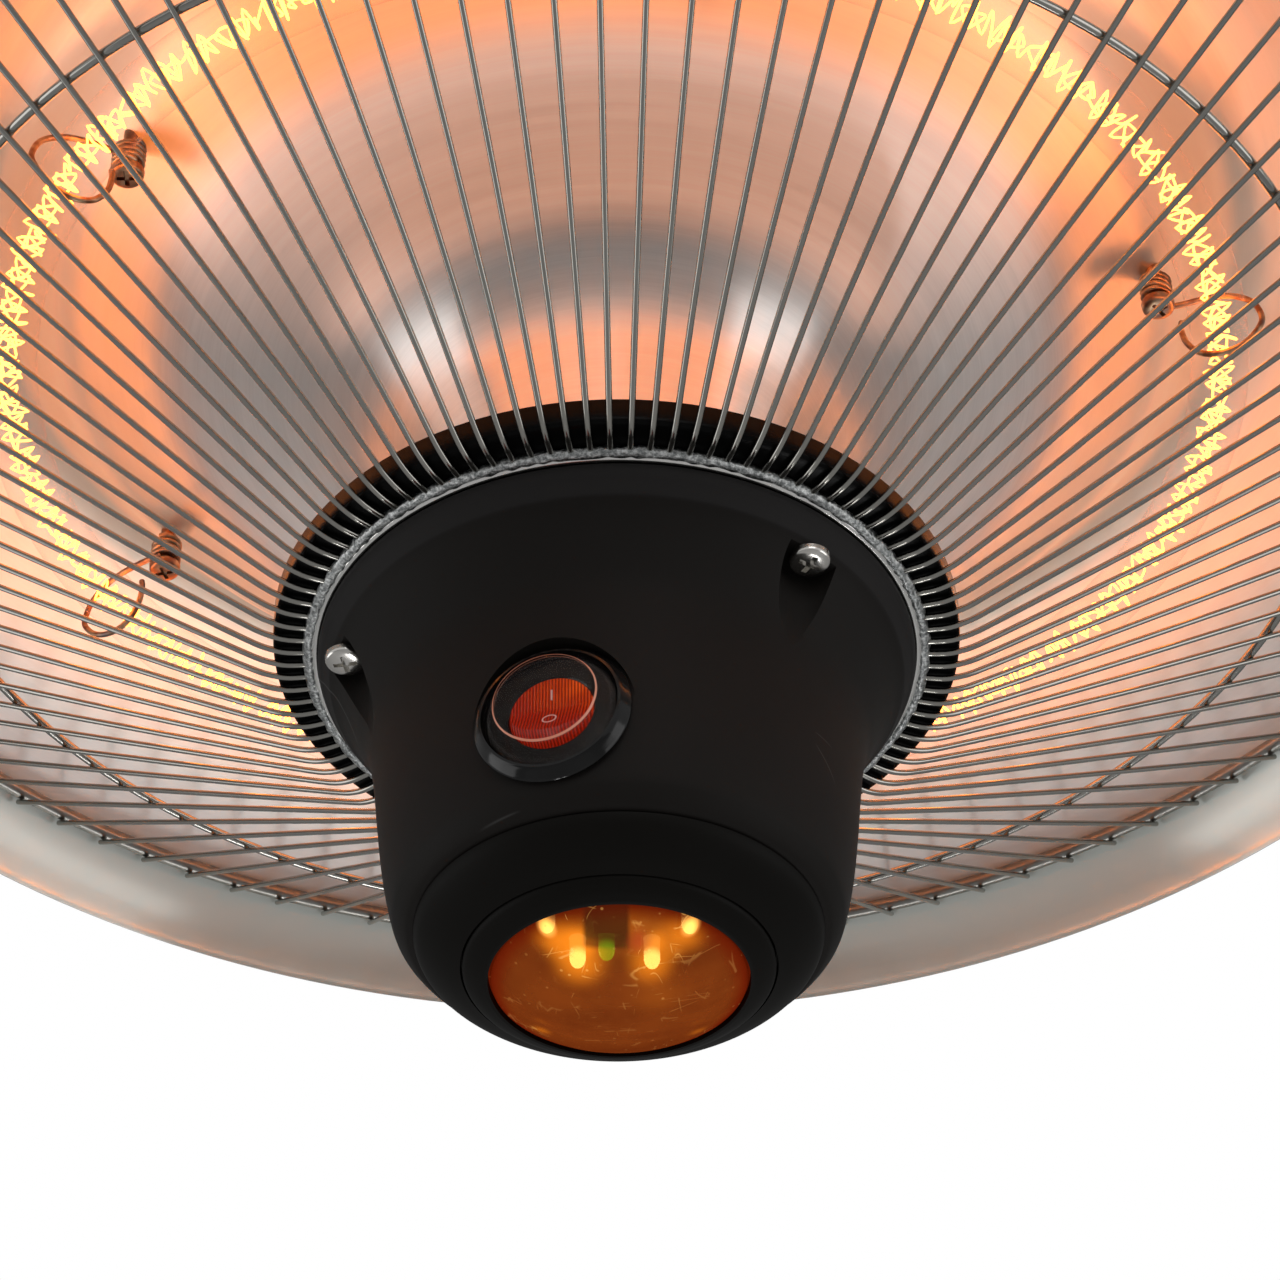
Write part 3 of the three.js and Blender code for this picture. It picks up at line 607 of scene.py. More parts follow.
def amberLens():
    # translucent amber with a redder edge and scratches; its emission carries painted light: lit spots from
    # the lights behind it, painted shade of the receiver, a painted red glow, two bright cores, and glints
    # on the scratches near the lights
    paint = Paint("amber lens")
    x, y, z = paint.axes()
    radius = paint.vector("LENGTH", paint.joined(x, y, 0.0))
    edge = radius.span(*lensLook["edge"])
    cloud = paint.noise(70, 4, 0.6)
    streak = paint.noise(60, 3, 0.6, paint.stretched((0.35, 1.6, 1)))
    patchy = (cloud * 0.5 + streak * 0.5).within(0.35, 0.65)
    warm = paint.blend(patchy, (0.10, 0.020, 0.002, 1), (0.24, 0.055, 0.006, 1))
    tint = paint.blend(edge, warm, (0.16, 0.012, 0.003, 1))
    scratch = 0.0
    for scale, squeeze, turn, thin in lensLook["scratches"]:
        trail = paint.noise(scale, 1, 0.4, paint.stretched(squeeze, (0, 0, turn)), 0.3)
        line = (1.0 - paint.maths("ABSOLUTE", trail - 0.5) / thin).within(0.0, 1.0)
        scratch = line * paint.noise(210, 1).within(0.57, 0.63) + scratch
    cells = paint.node("ShaderNodeTexVoronoi", None, {"Vector": paint.place, "Scale": 420})
    speck = Signal(paint, cells.outputs["Distance"]).within(0.16, 0.08)
    speck = speck * paint.noise(230, 1).within(0.48, 0.56)
    mark = paint.maths("MINIMUM", scratch + speck, 1.0)
    tint = paint.blend(mark * 0.14, tint, (0.85, 0.42, 0.12, 1))
    # painted light: spots that stand for the lights behind it shining through the lens
    lit = 0.0
    for spotX, spotY, reach, share in lensLook["paintedLitSpots"]:
        lit = near(paint, x, y, spotX, spotY, reach) * share + lit
    glow = paint.blend(lit.within(0.0, 1.3), (0.112, 0.020, 0.004, 1), (1.1, 0.29, 0.012, 1))
    # painted shade where the receiver sits behind it, and a painted red glow for a red component
    left, right, low = lensLook["receiver"]
    dark = x.span(*left) * x.span(*right) * y.span(*low)
    glow = paint.blend(dark * 0.85, glow, (0.03, 0.008, 0.002, 1))
    tint = paint.blend(dark * 0.8, tint, (0.03, 0.012, 0.006, 1))
    glow = paint.blend(near(paint, x, y, *lensLook["paintedRedGlow"]) * 0.7, glow, (0.42, 0.05, 0.015, 1))
    glow = paint.blend(edge, glow, (0.07, 0.006, 0.0005, 1))
    # painted light: the two lights nearest the eye are painted as bright cores that shine through the rim
    # of the lens
    for spotX, spotY in lensLook["paintedLightCores"]:
        light = near(paint, x, y, spotX, spotY, lensLook["paintedCoreReach"])
        glow = paint.blend(light, glow, (2.4, 1.0, 0.18, 1))
    # painted glints: the scratches glow orange, most where the painted spots are lit
    glow = paint.blend(mark * (0.05 + lit * 0.55), glow, (1.0, 0.52, 0.12, 1))
    paint.material.surface_render_method = "BLENDED"
    return paint.set(
        color=tint, rough=0.1 + cloud * 0.08 + mark * 0.3, alpha=0.8 + edge * 0.15 + mark * 0.05, glow=glow,
        power=1.0, spec=0.0)


capLook = {  # radii of the front rim and the base, and how far out the rim starts, in mm
    "rim": ((9.46, 9.56), (9.86, 9.76)), "rimOut": (5.3, 5.7), "base": ((11.1, 11.3), (11.9, 11.5))}


def clearCap():
    # a clear soft cap: only its rims and its bend show; the front rim carries a painted pale line and a
    # painted orange glow, standing for the rocker's light caught by its edge
    paint = Paint("clear cap")
    axis = (math.cos(math.radians(switch["angle"])), math.sin(math.radians(switch["angle"])), 0)
    seat = spot(switch["seat"], switch["angle"], switch["height"])
    offset = paint.vector("SUBTRACT", paint.place, tuple(seat))
    out = paint.vector("DOT_PRODUCT", offset, axis)
    along = paint.vector("MULTIPLY", axis, paint.joined(out, out, out))
    reach = paint.vector("LENGTH", paint.vector("SUBTRACT", offset, along))

    def band(name):
        inner, outer = capLook[name]
        return reach.span(*inner) * reach.span(*outer)

    # painted light: the front rim band gets a pale orange line in its colour and an orange glow in its
    # emission
    front = band("rim") * out.span(*capLook["rimOut"])
    base = band("base")
    smear = paint.noise(160, 3)
    line = paint.blend(smear, (0.60, 0.20, 0.10, 1), (0.60, 0.42, 0.34, 1))
    tint = paint.blend(front, (0.05, 0.045, 0.045, 1), line)
    glow = paint.blend(front, (0.0, 0.0, 0.0, 1), (0.26, 0.08, 0.045, 1))
    edge = paint.facing(0.3)
    paint.material.surface_render_method = "BLENDED"
    return paint.set(
        color=tint, rough=0.03 + smear * 0.04, glow=glow, power=1.0,
        alpha=0.02 + edge * edge * 0.3 + front * 0.6 + base * 0.2, spec=0.4)


# the ribs' pitch, and where the lamp behind them starts to show and is brightest, from the middle
rockerLook = {"ribs": 0.6, "lampHeights": (-4, 7), "lampAcross": (-6, 7)}


def ribbedRed():
    # lit red plastic with fine ribs that run up the rocker's face
    paint = Paint("lit red rocker")
    angle = math.radians(switch["angle"])
    across = paint.vector("DOT_PRODUCT", paint.place, (-math.sin(angle), math.cos(angle), 0))
    rib = paint.maths("SINE", across * (2 * math.pi / (rockerLook["ribs"] * mm))) * 0.5 + 0.5
    x, y, z = paint.axes()
    high = z.span(*rockerLook["lampHeights"], switch["height"] + rimLevel)
    right = across.span(*rockerLook["lampAcross"])
    patch = paint.noise(240, 2, 0.6).within(0.35, 0.65)
    hot = high * right * (0.5 + patch * 0.5)
    tint = paint.blend(rib, (0.22, 0.008, 0.001, 1), (0.10, 0.004, 0.001, 1))
    base = paint.blend(hot, (0.28, 0.009, 0.001, 1), (0.9, 0.11, 0.006, 1))
    glow = paint.blend(rib * 0.88, base, (0.05, 0.0015, 0.0, 1))
    return paint.set(color=tint, rough=0.2, glow=glow, power=0.75, normal=paint.bump(rib, 0.14), spec=0.4)


finishes["lens"] = amberLens()
finishes["capClear"] = clearCap()
finishes["red"] = ribbedRed()
finishes["mark"] = glossy("pale mark", (0.80, 0.50, 0.46), 0.4, 0.2)
print("finishes made", len(finishes))

# Reflector: trumpet neck, inner dish, step, outer dome and rolled rim

sheet = {"thickness": 0.9, "bead": (210.6, 1.9), "beadRadius": 1.9, "lampHole": 7.4}
reflectorLine = joinRuns(
    [(5.4, -59.2), (31, -59.2)],
    [(31, -59.2), (32.4, -57.4), (32.8, -46), (33.8, -39.2), (35.4, -33), (37.4, -26), (39.5, -19),
     (41.8, -12.2), (44.4, -7), (48, -2), (53, 2), (59, 4.6), (66, 6.2), (76, 7.2), (86, 8.2), (91, 9.2),
     (95.4, 10.9), (99.6, 13.4), (104, 16.4), (109, 19.3), (114, 22), (118.6, 25.8), (122.4, 30.6),
     (126, 35.6), (129.6, 39.2), (134, 41.4), (139, 42.2), (145, 41.6), (150, 40.4), (160, 37),
     (172, 32.6), (185, 26.8), (196, 19.8), (201, 15.3), (205.4, 10.2), (208.4, 5.8), (210.2, 2.4),
     (210.9, 0.7)])
bead = [(sheet["bead"][0] + sheet["beadRadius"] * math.cos(math.radians(a)),
         sheet["bead"][1] + sheet["beadRadius"] * math.sin(math.radians(a))) for a in range(-70, 100, 20)]
reflectorSheet = thickened(reflectorLine, sheet["thickness"])
# the sheet's back ends above the bead
reflectorBack = [point for point in reflectorSheet[len(reflectorLine):] if point[1] > 4.4 or point[0] < 200]
reflectorSection = reflectorSheet[:len(reflectorLine)] + bead + reflectorBack
reflector = turned("reflector_sheet", reflectorSection, 220, 40)
for end in lamp["ends"]:
    place = spot(lamp["radius"], end, 35)
    carve(reflector, rod(sheet["lampHole"], 25, 50, 40, (place.x / mm, place.y / mm)))
shadeSmooth(reflector, 40)
finish(reflector, "reflector", "spun_aluminium", "reflector")

# Top cover, nuts, hanging eye and gland

coverThickness = 1.2
coverLine = joinRuns(
    [(5.6, 83.1), (17, 83.9)], [(17, 83.9), (74, 83.9)],
    [(74, 83.9), (98, 81), (118, 74.9), (131, 66), (136.6, 58), (138.8, 48.4)],
    [(138.8, 47.8), (147, 47.8)])
cover = turned("top_cover_sheet", thickened(coverLine, coverThickness), 200, 40)
finish(cover, "cover", "spun_aluminium", "top_cover")


def hexNut(name, corners, low, high, center=(0, 0), bore=5.4):
    # a rounded disc cuts the nut's corners back at both ends
    nut = rod(corners / 2, low, high, 6, center)
    dome = rod(corners / 2 * 0.985, low - 0.1, high + 0.1, 64, center)
    soften(dome, (high - low) * 0.14, 3)
    carve(nut, dome, "INTERSECT")
    carve(nut, rod(bore, low - 2, high + 2, 40, center))
    return shadeSmooth(named(name, nut), 25)


finish(hexNut("top_hex_nut", 19, 85.0, 91.7), "nickel", "nickel", "top_nut")

loop = {"radius": 11, "rod": 3, "height": 108}
eye = ring("hanging_eye_nut", loop["radius"], 0, loop["rod"], 96, 28)
spun(moved(eye, z=-rimLevel), 90, "X")
moved(eye, z=loop["height"] + rimLevel)
boss = turned("boss", joinRuns(
    [(0, 93), (8.4, 93)], [(8.4, 93), (9, 93.6), (9, 98.2)],
    [(9, 98.2), (7.6, 100), (5.4, 101.4), (0, 101.6)]), 48)
carve(eye, boss, "UNION")
carve(eye, rod(5.4, 90, 97.3, 48))
finish(shadeSmooth(eye, 50), "nickel", "nickel", "hanging_eye")

gland = {"center": (0, 45), "grips": 12, "gripCircle": 9.5, "gripRadius": 0.7}


def glandPart(name, section):
    return moved(turned(name, section, 64), y=gland["center"][1])


glandBody = hexNut("gland_body", 19, 85.4, 90.4, gland["center"], 3.6)
thread = glandPart("gland_thread", [
    (3.6, 74), (5.6, 74), (6, 74.6), (6, 85.4), (6.9, 90.3), (6.9, 96.2), (6.6, 96.4), (3.6, 96.4)])
finish(merged([glandBody, thread], "gland_body"), "black", "black_moulding", "cable_gland")
glandTop = glandPart("gland_dome", joinRuns(
    [(7.8, 90.7), (9, 90.7)], [(9, 90.7), (9.2, 91), (9.2, 96.5)],
    [(9.2, 96.5), (8.9, 98.6), (7.4, 100.4), (5.4, 101.2), (4, 101.4)],
    [(3.6, 101.2), (3.6, 96.7)], [(7.8, 96.7)]))
for i in range(gland["grips"]):
    angle = 2 * math.pi * i / gland["grips"]
    gripX = gland["gripCircle"] * math.cos(angle)
    gripY = gland["center"][1] + gland["gripCircle"] * math.sin(angle)
    carve(glandTop, rod(gland["gripRadius"], 90, 97.5, 12, (gripX, gripY)))
finish(shadeSmooth(glandTop, 35), "black", "black_moulding", "gland_cap")
print("reflector, cover and hanging eye made")

# Hub dish: the black band between the housing and the wires

hubThickness = 1.2
hubLine = joinRuns(
    [(5.4, -60.7), (50, -60.7)], [(50, -60.7), (53, -61.1), (56, -61.9)], [(56, -61.9), (65.6, -61.9)],
    [(65.6, -61.9), (66.8, -61.6), (67.3, -60.6), (67.4, -56.5)])
hubBand = turned("hub_band", thickened(hubLine, hubThickness), 180)
finish(hubBand, "enamel", "black_enamel", "hub_dish")

# Guard: each hoop and ring is given as its radius, its height and its rod's radius

guard = {
    "count": 105, "phase": 1.7, "wire": 0.63, "rise": 0.5715, "innerHoop": (147.5, -15.5, 1.0),
    "outerHoop": (198.4, 14.7, 1.75), "hubRing": (58.9, -63.0, 1.0), "weld": (60.2, -62.9, 1.15),
    "weldLumps": 0.22}
wireLine = smoothLine([(59.4, -62.7), (62, -62.9), (65.5, -62.8), (69.5, -61.6), (74, -59.2)], 3)
wireLine += [(100 + 20 * i, -62.9 + guard["rise"] * (32.5 + 20 * i)) for i in range(5)] + [(200.3, 13)]


def guardWires():
    points = [Vector((r * mm, 0, (z + rimLevel) * mm)) for r, z in wireLine]
    wires = spun(swept("guard_wires", points, guard["wire"], 3), guard["phase"])
    bpy.ops.object.mode_set(mode="EDIT")
    bpy.ops.mesh.select_all(action="SELECT")
    copies = guard["count"] - 1
    arc = 2 * math.pi / guard["count"] * copies
    bpy.ops.mesh.spin(steps=copies, dupli=True, angle=arc, center=(0, 0, 0), axis=(0, 0, 1))
    bpy.ops.object.mode_set(mode="OBJECT")
    return wires


innerHoop = ring("inner_hoop", *guard["innerHoop"], 300, 12)
wires = merged([guardWires(), innerHoop], "guard_wires")
shadeSmooth(wires, 50)
finish(wires, "wire", "bright_wire", "wire_guard")
outerHoop = ring("outer_hoop_rod", *guard["outerHoop"], 300, 14)
finish(outerHoop, "hoop", "bright_wire", "outer_hoop")
finish(ring("hub_ring_rod", *guard["hubRing"], 240, 14), "ring", "bright_wire", "hub_ring")

weld = ring("hub_weld", *guard["weld"], 420, 12)  # the run of weld that joins the wires' ends
alone(weld)
bpy.ops.object.mode_set(mode="EDIT")
bpy.ops.mesh.select_all(action="SELECT")
bpy.ops.transform.vertex_random(offset=guard["weldLumps"] * mm, uniform=0.4, normal=0.6, seed=3)
bpy.ops.object.mode_set(mode="OBJECT")
finish(weld, "weld", "bright_wire", "hub_ring")
print("guard made")

# Ring lamp

def lampLine(top, ringSteps=150, bendSteps=10):
    start, end = lamp["ends"]
    bendSpan = math.degrees(lamp["bend"] / lamp["radius"])
    leg = [(start, top)]
    for i in range(bendSteps):
        angle = math.pi / 2 * i / bendSteps
        drop = lamp["bend"] * (1 - math.sin(angle))
        leg.append((start + bendSpan * (1 - math.cos(angle)), lamp["height"] + drop))
    span = end - start - 2 * bendSpan
    middle = [(start + bendSpan + span * i / ringSteps, lamp["height"]) for i in range(ringSteps + 1)]
    other = [(start + end - angle, height) for angle, height in reversed(leg)]
    return [spot(lamp["radius"], angle, height) for angle, height in leg + middle + other]


tubeOuter = swept("ring_lamp", lampLine(lamp["legTop"]), lamp["tube"], 8)
finish(tubeOuter, "quartz", "quartz", "quartz_tube")


coil = {"pitch": 9.05, "tuft": 6.5, "reach": 3.65, "chords": 11, "step": 144, "wire": 0.24, "tailWire": 0.4}


def starCoil():
    # each tuft is wound as a star, and a short pinch joins it to the next
    start, end = lamp["ends"][0] + 8, lamp["ends"][1] - 8
    degrees = math.degrees(1 / lamp["radius"])
    tufts = int((end - start) / (coil["pitch"] * degrees))
    points = []
    for tuft in range(tufts):
        phase = dice.uniform(0, 360)
        for chord in range(coil["chords"]):
            share = chord / (coil["chords"] - 1)
            turn = math.radians(phase + chord * coil["step"])
            swell = coil["reach"] * (1 - 0.28 * share) * dice.uniform(0.9, 1.0)
            along = start + (tuft * coil["pitch"] + share * coil["tuft"]) * degrees
            points.append((swell * math.cos(turn), swell * math.sin(turn), along))
        points.append((0.5, -0.4, start + (tuft * coil["pitch"] + coil["tuft"] + 1.1) * degrees))
    line = [spot(lamp["radius"] + x, angle, lamp["height"] + z) for x, z, angle in smoothLine(points, 4)]
    strands = [swept("strand", line, coil["wire"], 1)]
    for end, turn in ((lamp["ends"][0], 1), (lamp["ends"][1], -1)):
        # a straight tail runs up each leg of the lamp: degrees past its end, and heights
        tail = [(0, 51.8), (0, 18), (turn * 1.2, 9), (turn * 3.4, 5.6), (turn * 8.2, 5)]
        places = [spot(lamp["radius"], end + past, height) for past, height in tail]
        strands.append(swept("tail", places, coil["tailWire"], 1))
    return merged(strands, "lamp_coil")


finish(starCoil(), "coil", "glowing_coil", "filament")
print("lamp made")

# Lamp clips and their screws

clip = {
    "angles": (-147, -79.5, -12, 151), "radius": 113.6, "wire": 0.65, "spring": 2.75, "turns": 4,
    "springLow": 12.9, "springHigh": 18.6}
pocket = {  # round each housing screw
    "angles": (-47.5, 72.5, -167.5), "out": 53.4, "radius": 6, "roof": -70.5, "pad": 7.8, "hole": 2.3}
screws = {  # sizes: the head's radius and height, the shank's radius and length
    "clip": {
        "sizes": (3.4, 2.2, 1.5, 12), "angles": clip["angles"], "radius": clip["radius"], "seat": 11.9,
        "axis": "Z", "turns": (0, 25, 50, 75), "finish": "tinted", "slot": "heat_tinted_steel"},
    "housing": {
        "sizes": (4, 1.9, 1.9, 12), "angles": pocket["angles"], "radius": pocket["out"], "seat": -70.8,
        "axis": "Z", "turns": (30, 55, 80), "finish": "nickel", "slot": "nickel"},
    "cover": {
        "sizes": (3, 2, 1.3, 7), "angles": (30, 150, 270), "radius": 143, "seat": 49.3,
        "axis": "X", "turns": (180, 180, 180), "finish": "nickel", "slot": "nickel"}}


def clipWire():
    spring = []
    steps = clip["turns"] * 16
    for i in range(steps + 1):
        angle = 2 * math.pi * i / 16 + math.pi / 2
        height = clip["springLow"] + (clip["springHigh"] - clip["springLow"]) * (1 - i / steps)
        spring.append((clip["spring"] * math.cos(angle), clip["spring"] * math.sin(angle), height))
    loop = [
        (4.2, 2.2, 7.6), (3.9, 2.2, 5.5), (4.6, 2.1, 1.5), (7.2, 1.8, -2.2), (11.4, 1.4, -3.4),
        (16, 1.1, -2), (19.4, 0.8, 1.6), (20.2, 0.6, 4.6), (18.6, 0.7, 9), (14.5, 1.2, 12),
        (9.6, 1.9, 12.9), (4.6, 2.5, 12.9)]
    line = smoothLine(loop + [(0.2, 2.75, 12.9)], 6)[:-1] + spring[::-1]
    return [Vector((x, y, z + rimLevel)) * mm for x, y, z in line]


def placed(where, turn, axis="Z"):
    # moves a piece to its place, turned on the spot by some degrees
    return Matrix.Translation(where) @ Matrix.Rotation(math.radians(turn), 4, axis)


clipModel = swept("clip", clipWire(), clip["wire"], 3)
for i, angle in enumerate(clip["angles"]):
    where = spot(clip["radius"], angle, 0) - spot(0, 0, 0)
    part = copied(clipModel, f"clip_wire_{i + 1}", placed(where, angle))
    finish(part, "tinted", "heat_tinted_steel", f"lamp_clip_{i + 1}")
bpy.data.objects.remove(clipModel)


def panScrew(name, head, height, shank, length):
    # head below the seat at height 0, cross recess in its face
    screw = turned(name, joinRuns(
        [(0, -height), (0.5 * head, -height * 0.98), (0.82 * head, -height * 0.86),
         (0.96 * head, -height * 0.6), (head, 0)],
        [(shank, 0)], [(shank, length), (0, length)]), 48, 40, 0)
    for turn in (0, 90):
        carve(screw, spun(block((head * 1.15, head * 0.26, height), (0, 0, -height), 0), turn))
    return shadeSmooth(screw, 30)


for kind, screw in screws.items():
    screwModel = panScrew("screw", *screw["sizes"])
    for i, (angle, turn) in enumerate(zip(screw["angles"], screw["turns"])):
        where = placed(spot(screw["radius"], angle, screw["seat"]), turn, screw["axis"])
        part = copied(screwModel, f"{kind}_fixing_{i + 1}", where)
        finish(part, screw["finish"], screw["slot"], f"{kind}_screw_{i + 1}")
    bpy.data.objects.remove(screwModel)
print("clips and screws made")

# Control housing

seat = {"radius": 15.3, "pad": (32, 31, 8), "padOut": 1.8, "hole": 10.1}  # round the switch
padInset = 0.8  # the pads stay this far inside the wall's outer face
bellOuter = joinRuns(
    [(56.6, -62.2), (56.6, -63.9)],
    [(58.1, -63.9), (58.4, -64.2), (58.4, -65.2)],
    [(58.4, -65.2), (57.9, -66.4), (57.2, -67.4), (56.0, -69.4)],
    [(56.0, -69.4), (55.3, -70.1), (54.0, -71.8), (52.2, -75), (49.9, -80), (48.2, -84.5), (47.0, -90.5),
     (46.2, -97), (45.5, -104), (44.6, -112), (43.6, -118.4), (42.3, -124.2), (41.2, -126.4),
     (39.6, -128.2), (38.3, -128.8)])
bellInner = joinRuns(
    [(36.4, -128.8), (38.6, -126.6), (40, -123.4), (42.3, -110), (43.6, -98.8), (44.2, -92), (46.4, -83),
     (50.2, -75.6), (54, -69), (54, -62.2)])
switchAngle = math.radians(switch["angle"])
outward = Vector((math.cos(switchAngle), math.sin(switchAngle), 0))
sideways = Vector((-math.sin(switchAngle), math.cos(switchAngle), 0))
upward = Vector((0, 0, 1))
switchPlace = Matrix.Translation(spot(switch["seat"], switch["angle"], switch["height"]))
switchTurn = Matrix((sideways, upward, outward)).transposed().to_4x4()
switchFrame = switchPlace @ switchTurn


def inSwitch(piece):
    # from the switch's own frame (out of the wall, in mm) to the heater's
    moved(piece, z=-rimLevel).data.transform(switchFrame)
    return piece


bell = turned("bell_housing", bellOuter + bellInner, 200, 30)
core = [(radius - padInset, height) for radius, height in bellOuter]
solidBell = turned("core", [(0, -62.2)] + core + [(0, -128.8)], 200, 30)
screwSpots = [spot(pocket["out"], angle, 0) / mm for angle in pocket["angles"]]
pads = [rod(pocket["pad"], -90, -62.2, 40, (place.x, place.y)) for place in screwSpots]
pads.append(inSwitch(block(seat["pad"], (0, 0, seat["padOut"]))))
for pad in pads:
    carve(pad, copied(solidBell, "core_copy"), "INTERSECT")
    carve(bell, pad, "UNION")
bpy.data.objects.remove(solidBell)
carve(bell, inSwitch(rod(seat["radius"], 0, 12, 96)))
carve(bell, inSwitch(rod(seat["hole"], -8, 4, 64)))
for place in screwSpots:
    carve(bell, rod(pocket["radius"], -100, pocket["roof"], 64, (place.x, place.y)))
    carve(bell, rod(pocket["hole"], -90, -50, 24, (place.x, place.y)))
shadeSmooth(bell, 30)
finish(bell, "black", "black_moulding", "control_housing")
print("housing made")

capOuter = joinRuns(
    [(35.9, -124.8), (35.9, -129.1)],
    [(37.7, -129.1), (38, -129.3), (37.2, -131), (35.2, -132.9), (32.4, -134.8), (29.2, -136.4)])
capSection = capOuter + [(29.1, -134.6), (23, -134.6), (23, -133.2), (33.6, -131.6), (34, -124.8)]
finish(turned("lower_cap", capSection, 180), "blackCap", "black_moulding", "bottom_cap")
ringSection = joinRuns(
    [(28.8, -134.9), (28.8, -136.6)], [(28.8, -136.6), (28.3, -137.3), (26.6, -138.4), (24.6, -139.3)],
    [(24.1, -139.3), (24, -137.6)], [(25.3, -137.3), (25.3, -134.9)])
finish(turned("lens_bezel", ringSection, 160), "blackCap", "gloss_black_plastic", "lens_ring")
lensSection = joinRuns(
    [(0, -146), (5, -145.8), (10, -144.9), (16, -143.2), (20.5, -140.9), (23.5, -138.8)], [(23.6, -137.1)],
    [(24.9, -137), (24.9, -135.5)], [(21.8, -135.5), (21.8, -138)],
    [(16, -141.6), (9, -143.6), (0, -144.5)])
finish(turned("amber_window", lensSection, 128), "lens", "amber_lens", "lens")

# Lights and receiver behind the lens

indicators = {  # place in plan, finish and slot
    "warm_led_1": (-13, -13.6, "warmLight", "warm_led"), "warm_led_2": (12.8, -13, "warmLight", "warm_led"),
    "warm_led_3": (-7.6, -2.6, "warmLight", "warm_led"), "warm_led_4": (6, -2.2, "warmLight", "warm_led"),
    "green_led": (-2.3, -4.9, "greenLight", "green_led"), "red_led": (2.6, -6.6, "redPart", "red_led")}
for name, (x, y, look, slotName) in indicators.items():
    lightPiece = turned(name + "_dome", joinRuns(
        [(0, -137.6), (0.8, -137.35), (1.3, -136.6), (1.5, -135.8)], [(1.5, -135.8), (1.5, -131.6)],
        [(1.5, -131.6), (1.5, -131.1), (0, -131.1)]), 32)
    finish(moved(lightPiece, x, y), look, slotName, name)
window = {"size": (6.2, 5.6, 6), "center": (-1.6, -14.8, -134.1), "edge": 0.4}
receiver = block(window["size"], window["center"])
soften(receiver, window["edge"], 2)
receiver = shadeSmooth(named("receiver_window", receiver), 35)
finish(receiver, "window", "receiver_black", "remote_receiver")

# Switch

baseRing = inSwitch(turned("cap_base_ring", joinRuns(
    [(12.8, 0.3), (14.6, 0.3)], [(14.6, 0.3), (14.9, 0.6), (14.8, 1.1)],
    [(14.8, 1.1), (13.8, 2.5), (13.3, 3.0)], [(12.8, 3.1)]), 128, 30))
finish(baseRing, "gloss", "gloss_black_plastic", "switch_cap_ring")
cap = inSwitch(turned("clear_switch_cap", joinRuns(
    [(0, 6.3), (9.1, 6.3)], [(9.1, 6.3), (9.6, 6.15), (9.85, 5.7)], [(9.85, 5.7), (10.5, 4.2), (11.3, 2.6)],
    [(12.4, 2.6)], [(12.4, 1.8), (10.6, 1.8)], [(10.6, 1.8), (9.8, 3.7), (9.2, 5.3)],
    [(9.2, 5.3), (8.9, 5.6), (0, 5.6)]), 128, 30))
finish(cap, "capClear", "clear_cap", "switch_cap")
bodyLine = joinRuns(
    [(0, -17), (9.7, -17)], [(9.7, -17), (9.7, 0.3)], [(12.2, 0.3), (12.4, 0.5), (12.4, 1.2), (12.1, 1.5)],
    [(8.2, 1.5), (7.95, 1.25)], [(7.95, 1.0), (9.0, 0.6)], [(9.0, -13)], [(0, -13)])
switchShell = inSwitch(turned("switch_shell", bodyLine, 64, 30))
finish(switchShell, "gloss", "gloss_black_plastic", "switch_body")


def onPivot(piece):
    # tips a piece of the rocker to its rest and sets it on the pin
    moved(spun(piece, -switch["tilt"], "X"), z=switch["pivot"]).data.transform(switchFrame)
    return piece


rocker = {"ball": 8.5, "face": 3.4, "marks": 3.42, "markSide": 3.4, "flat": -9.5, "edge": 0.3}


def rockerShape():
    bpy.ops.mesh.primitive_uv_sphere_add(
        segments=64, ring_count=40, radius=rocker["ball"] * mm, location=(0, 0, 0))
    ball = named("lit_rocker")
    for side in (-1, 1):
        wedge = spun(block((20, 14, 10), (0, side * 7, 5), 0), side * switch["tilt"], "X")
        carve(ball, moved(wedge, z=rocker["face"]))
    carve(ball, block((20, 20, 10), (0, 0, rocker["flat"]), 0))
    soften(ball, rocker["edge"], 2, 28)
    return shadeSmooth(onPivot(ball), 30)


finish(rockerShape(), "red", "red_rocker", "rocker", body="rocker")


def rockerMark(piece, side):
    # lies on one half of the rocker's face
    spun(moved(piece, y=side * rocker["markSide"]), side * switch["tilt"], "X")
    return onPivot(moved(piece, z=rocker["marks"]))


onBar = block((0.34, 2.4, 0.12), (0, 0, 0), 0)
soften(onBar, 0.05, 2)
finish(rockerMark(named("on_mark", onBar), 1), "mark", "red_rocker", body="rocker")
bpy.ops.mesh.primitive_torus_add(
    major_radius=1.25 * mm, minor_radius=0.16 * mm, major_segments=48, minor_segments=10)
offRing = named("off_mark")
offRing.data.transform(Matrix.Scale(0.4, 4, (0, 0, 1)))
finish(rockerMark(offRing, -1), "mark", "red_rocker", body="rocker")
print("switch and lens made")

# Finishes for the solids that stay as they are

kept = {
    "centre_tube": "zinc", "neck_nut": "zinc", "hub_nut": "zinc", "gland_nut": "black",
    "terminal_block": "ceramic", "thermal_cutout": "gloss", "lamp_cap_left": "ceramic",
    "lamp_cap_right": "ceramic", "lamp_lead_left": "woven", "lamp_lead_right": "woven",
    "control_board": "board", "board_screw_1": "zinc", "board_screw_2": "zinc", "relay": "blue",
    "capacitor": "sleeve", "board_terminal": "green", "wiring_loom": "woven", "indicator_board": "board",
    "switch_pin": "zinc"}
for name, look in kept.items():
    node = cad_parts[name]
    node.data.materials.clear()
    node.data.materials.append(finishes[look])

# Stage: pale floor, white surroundings, soft lamps and the camera

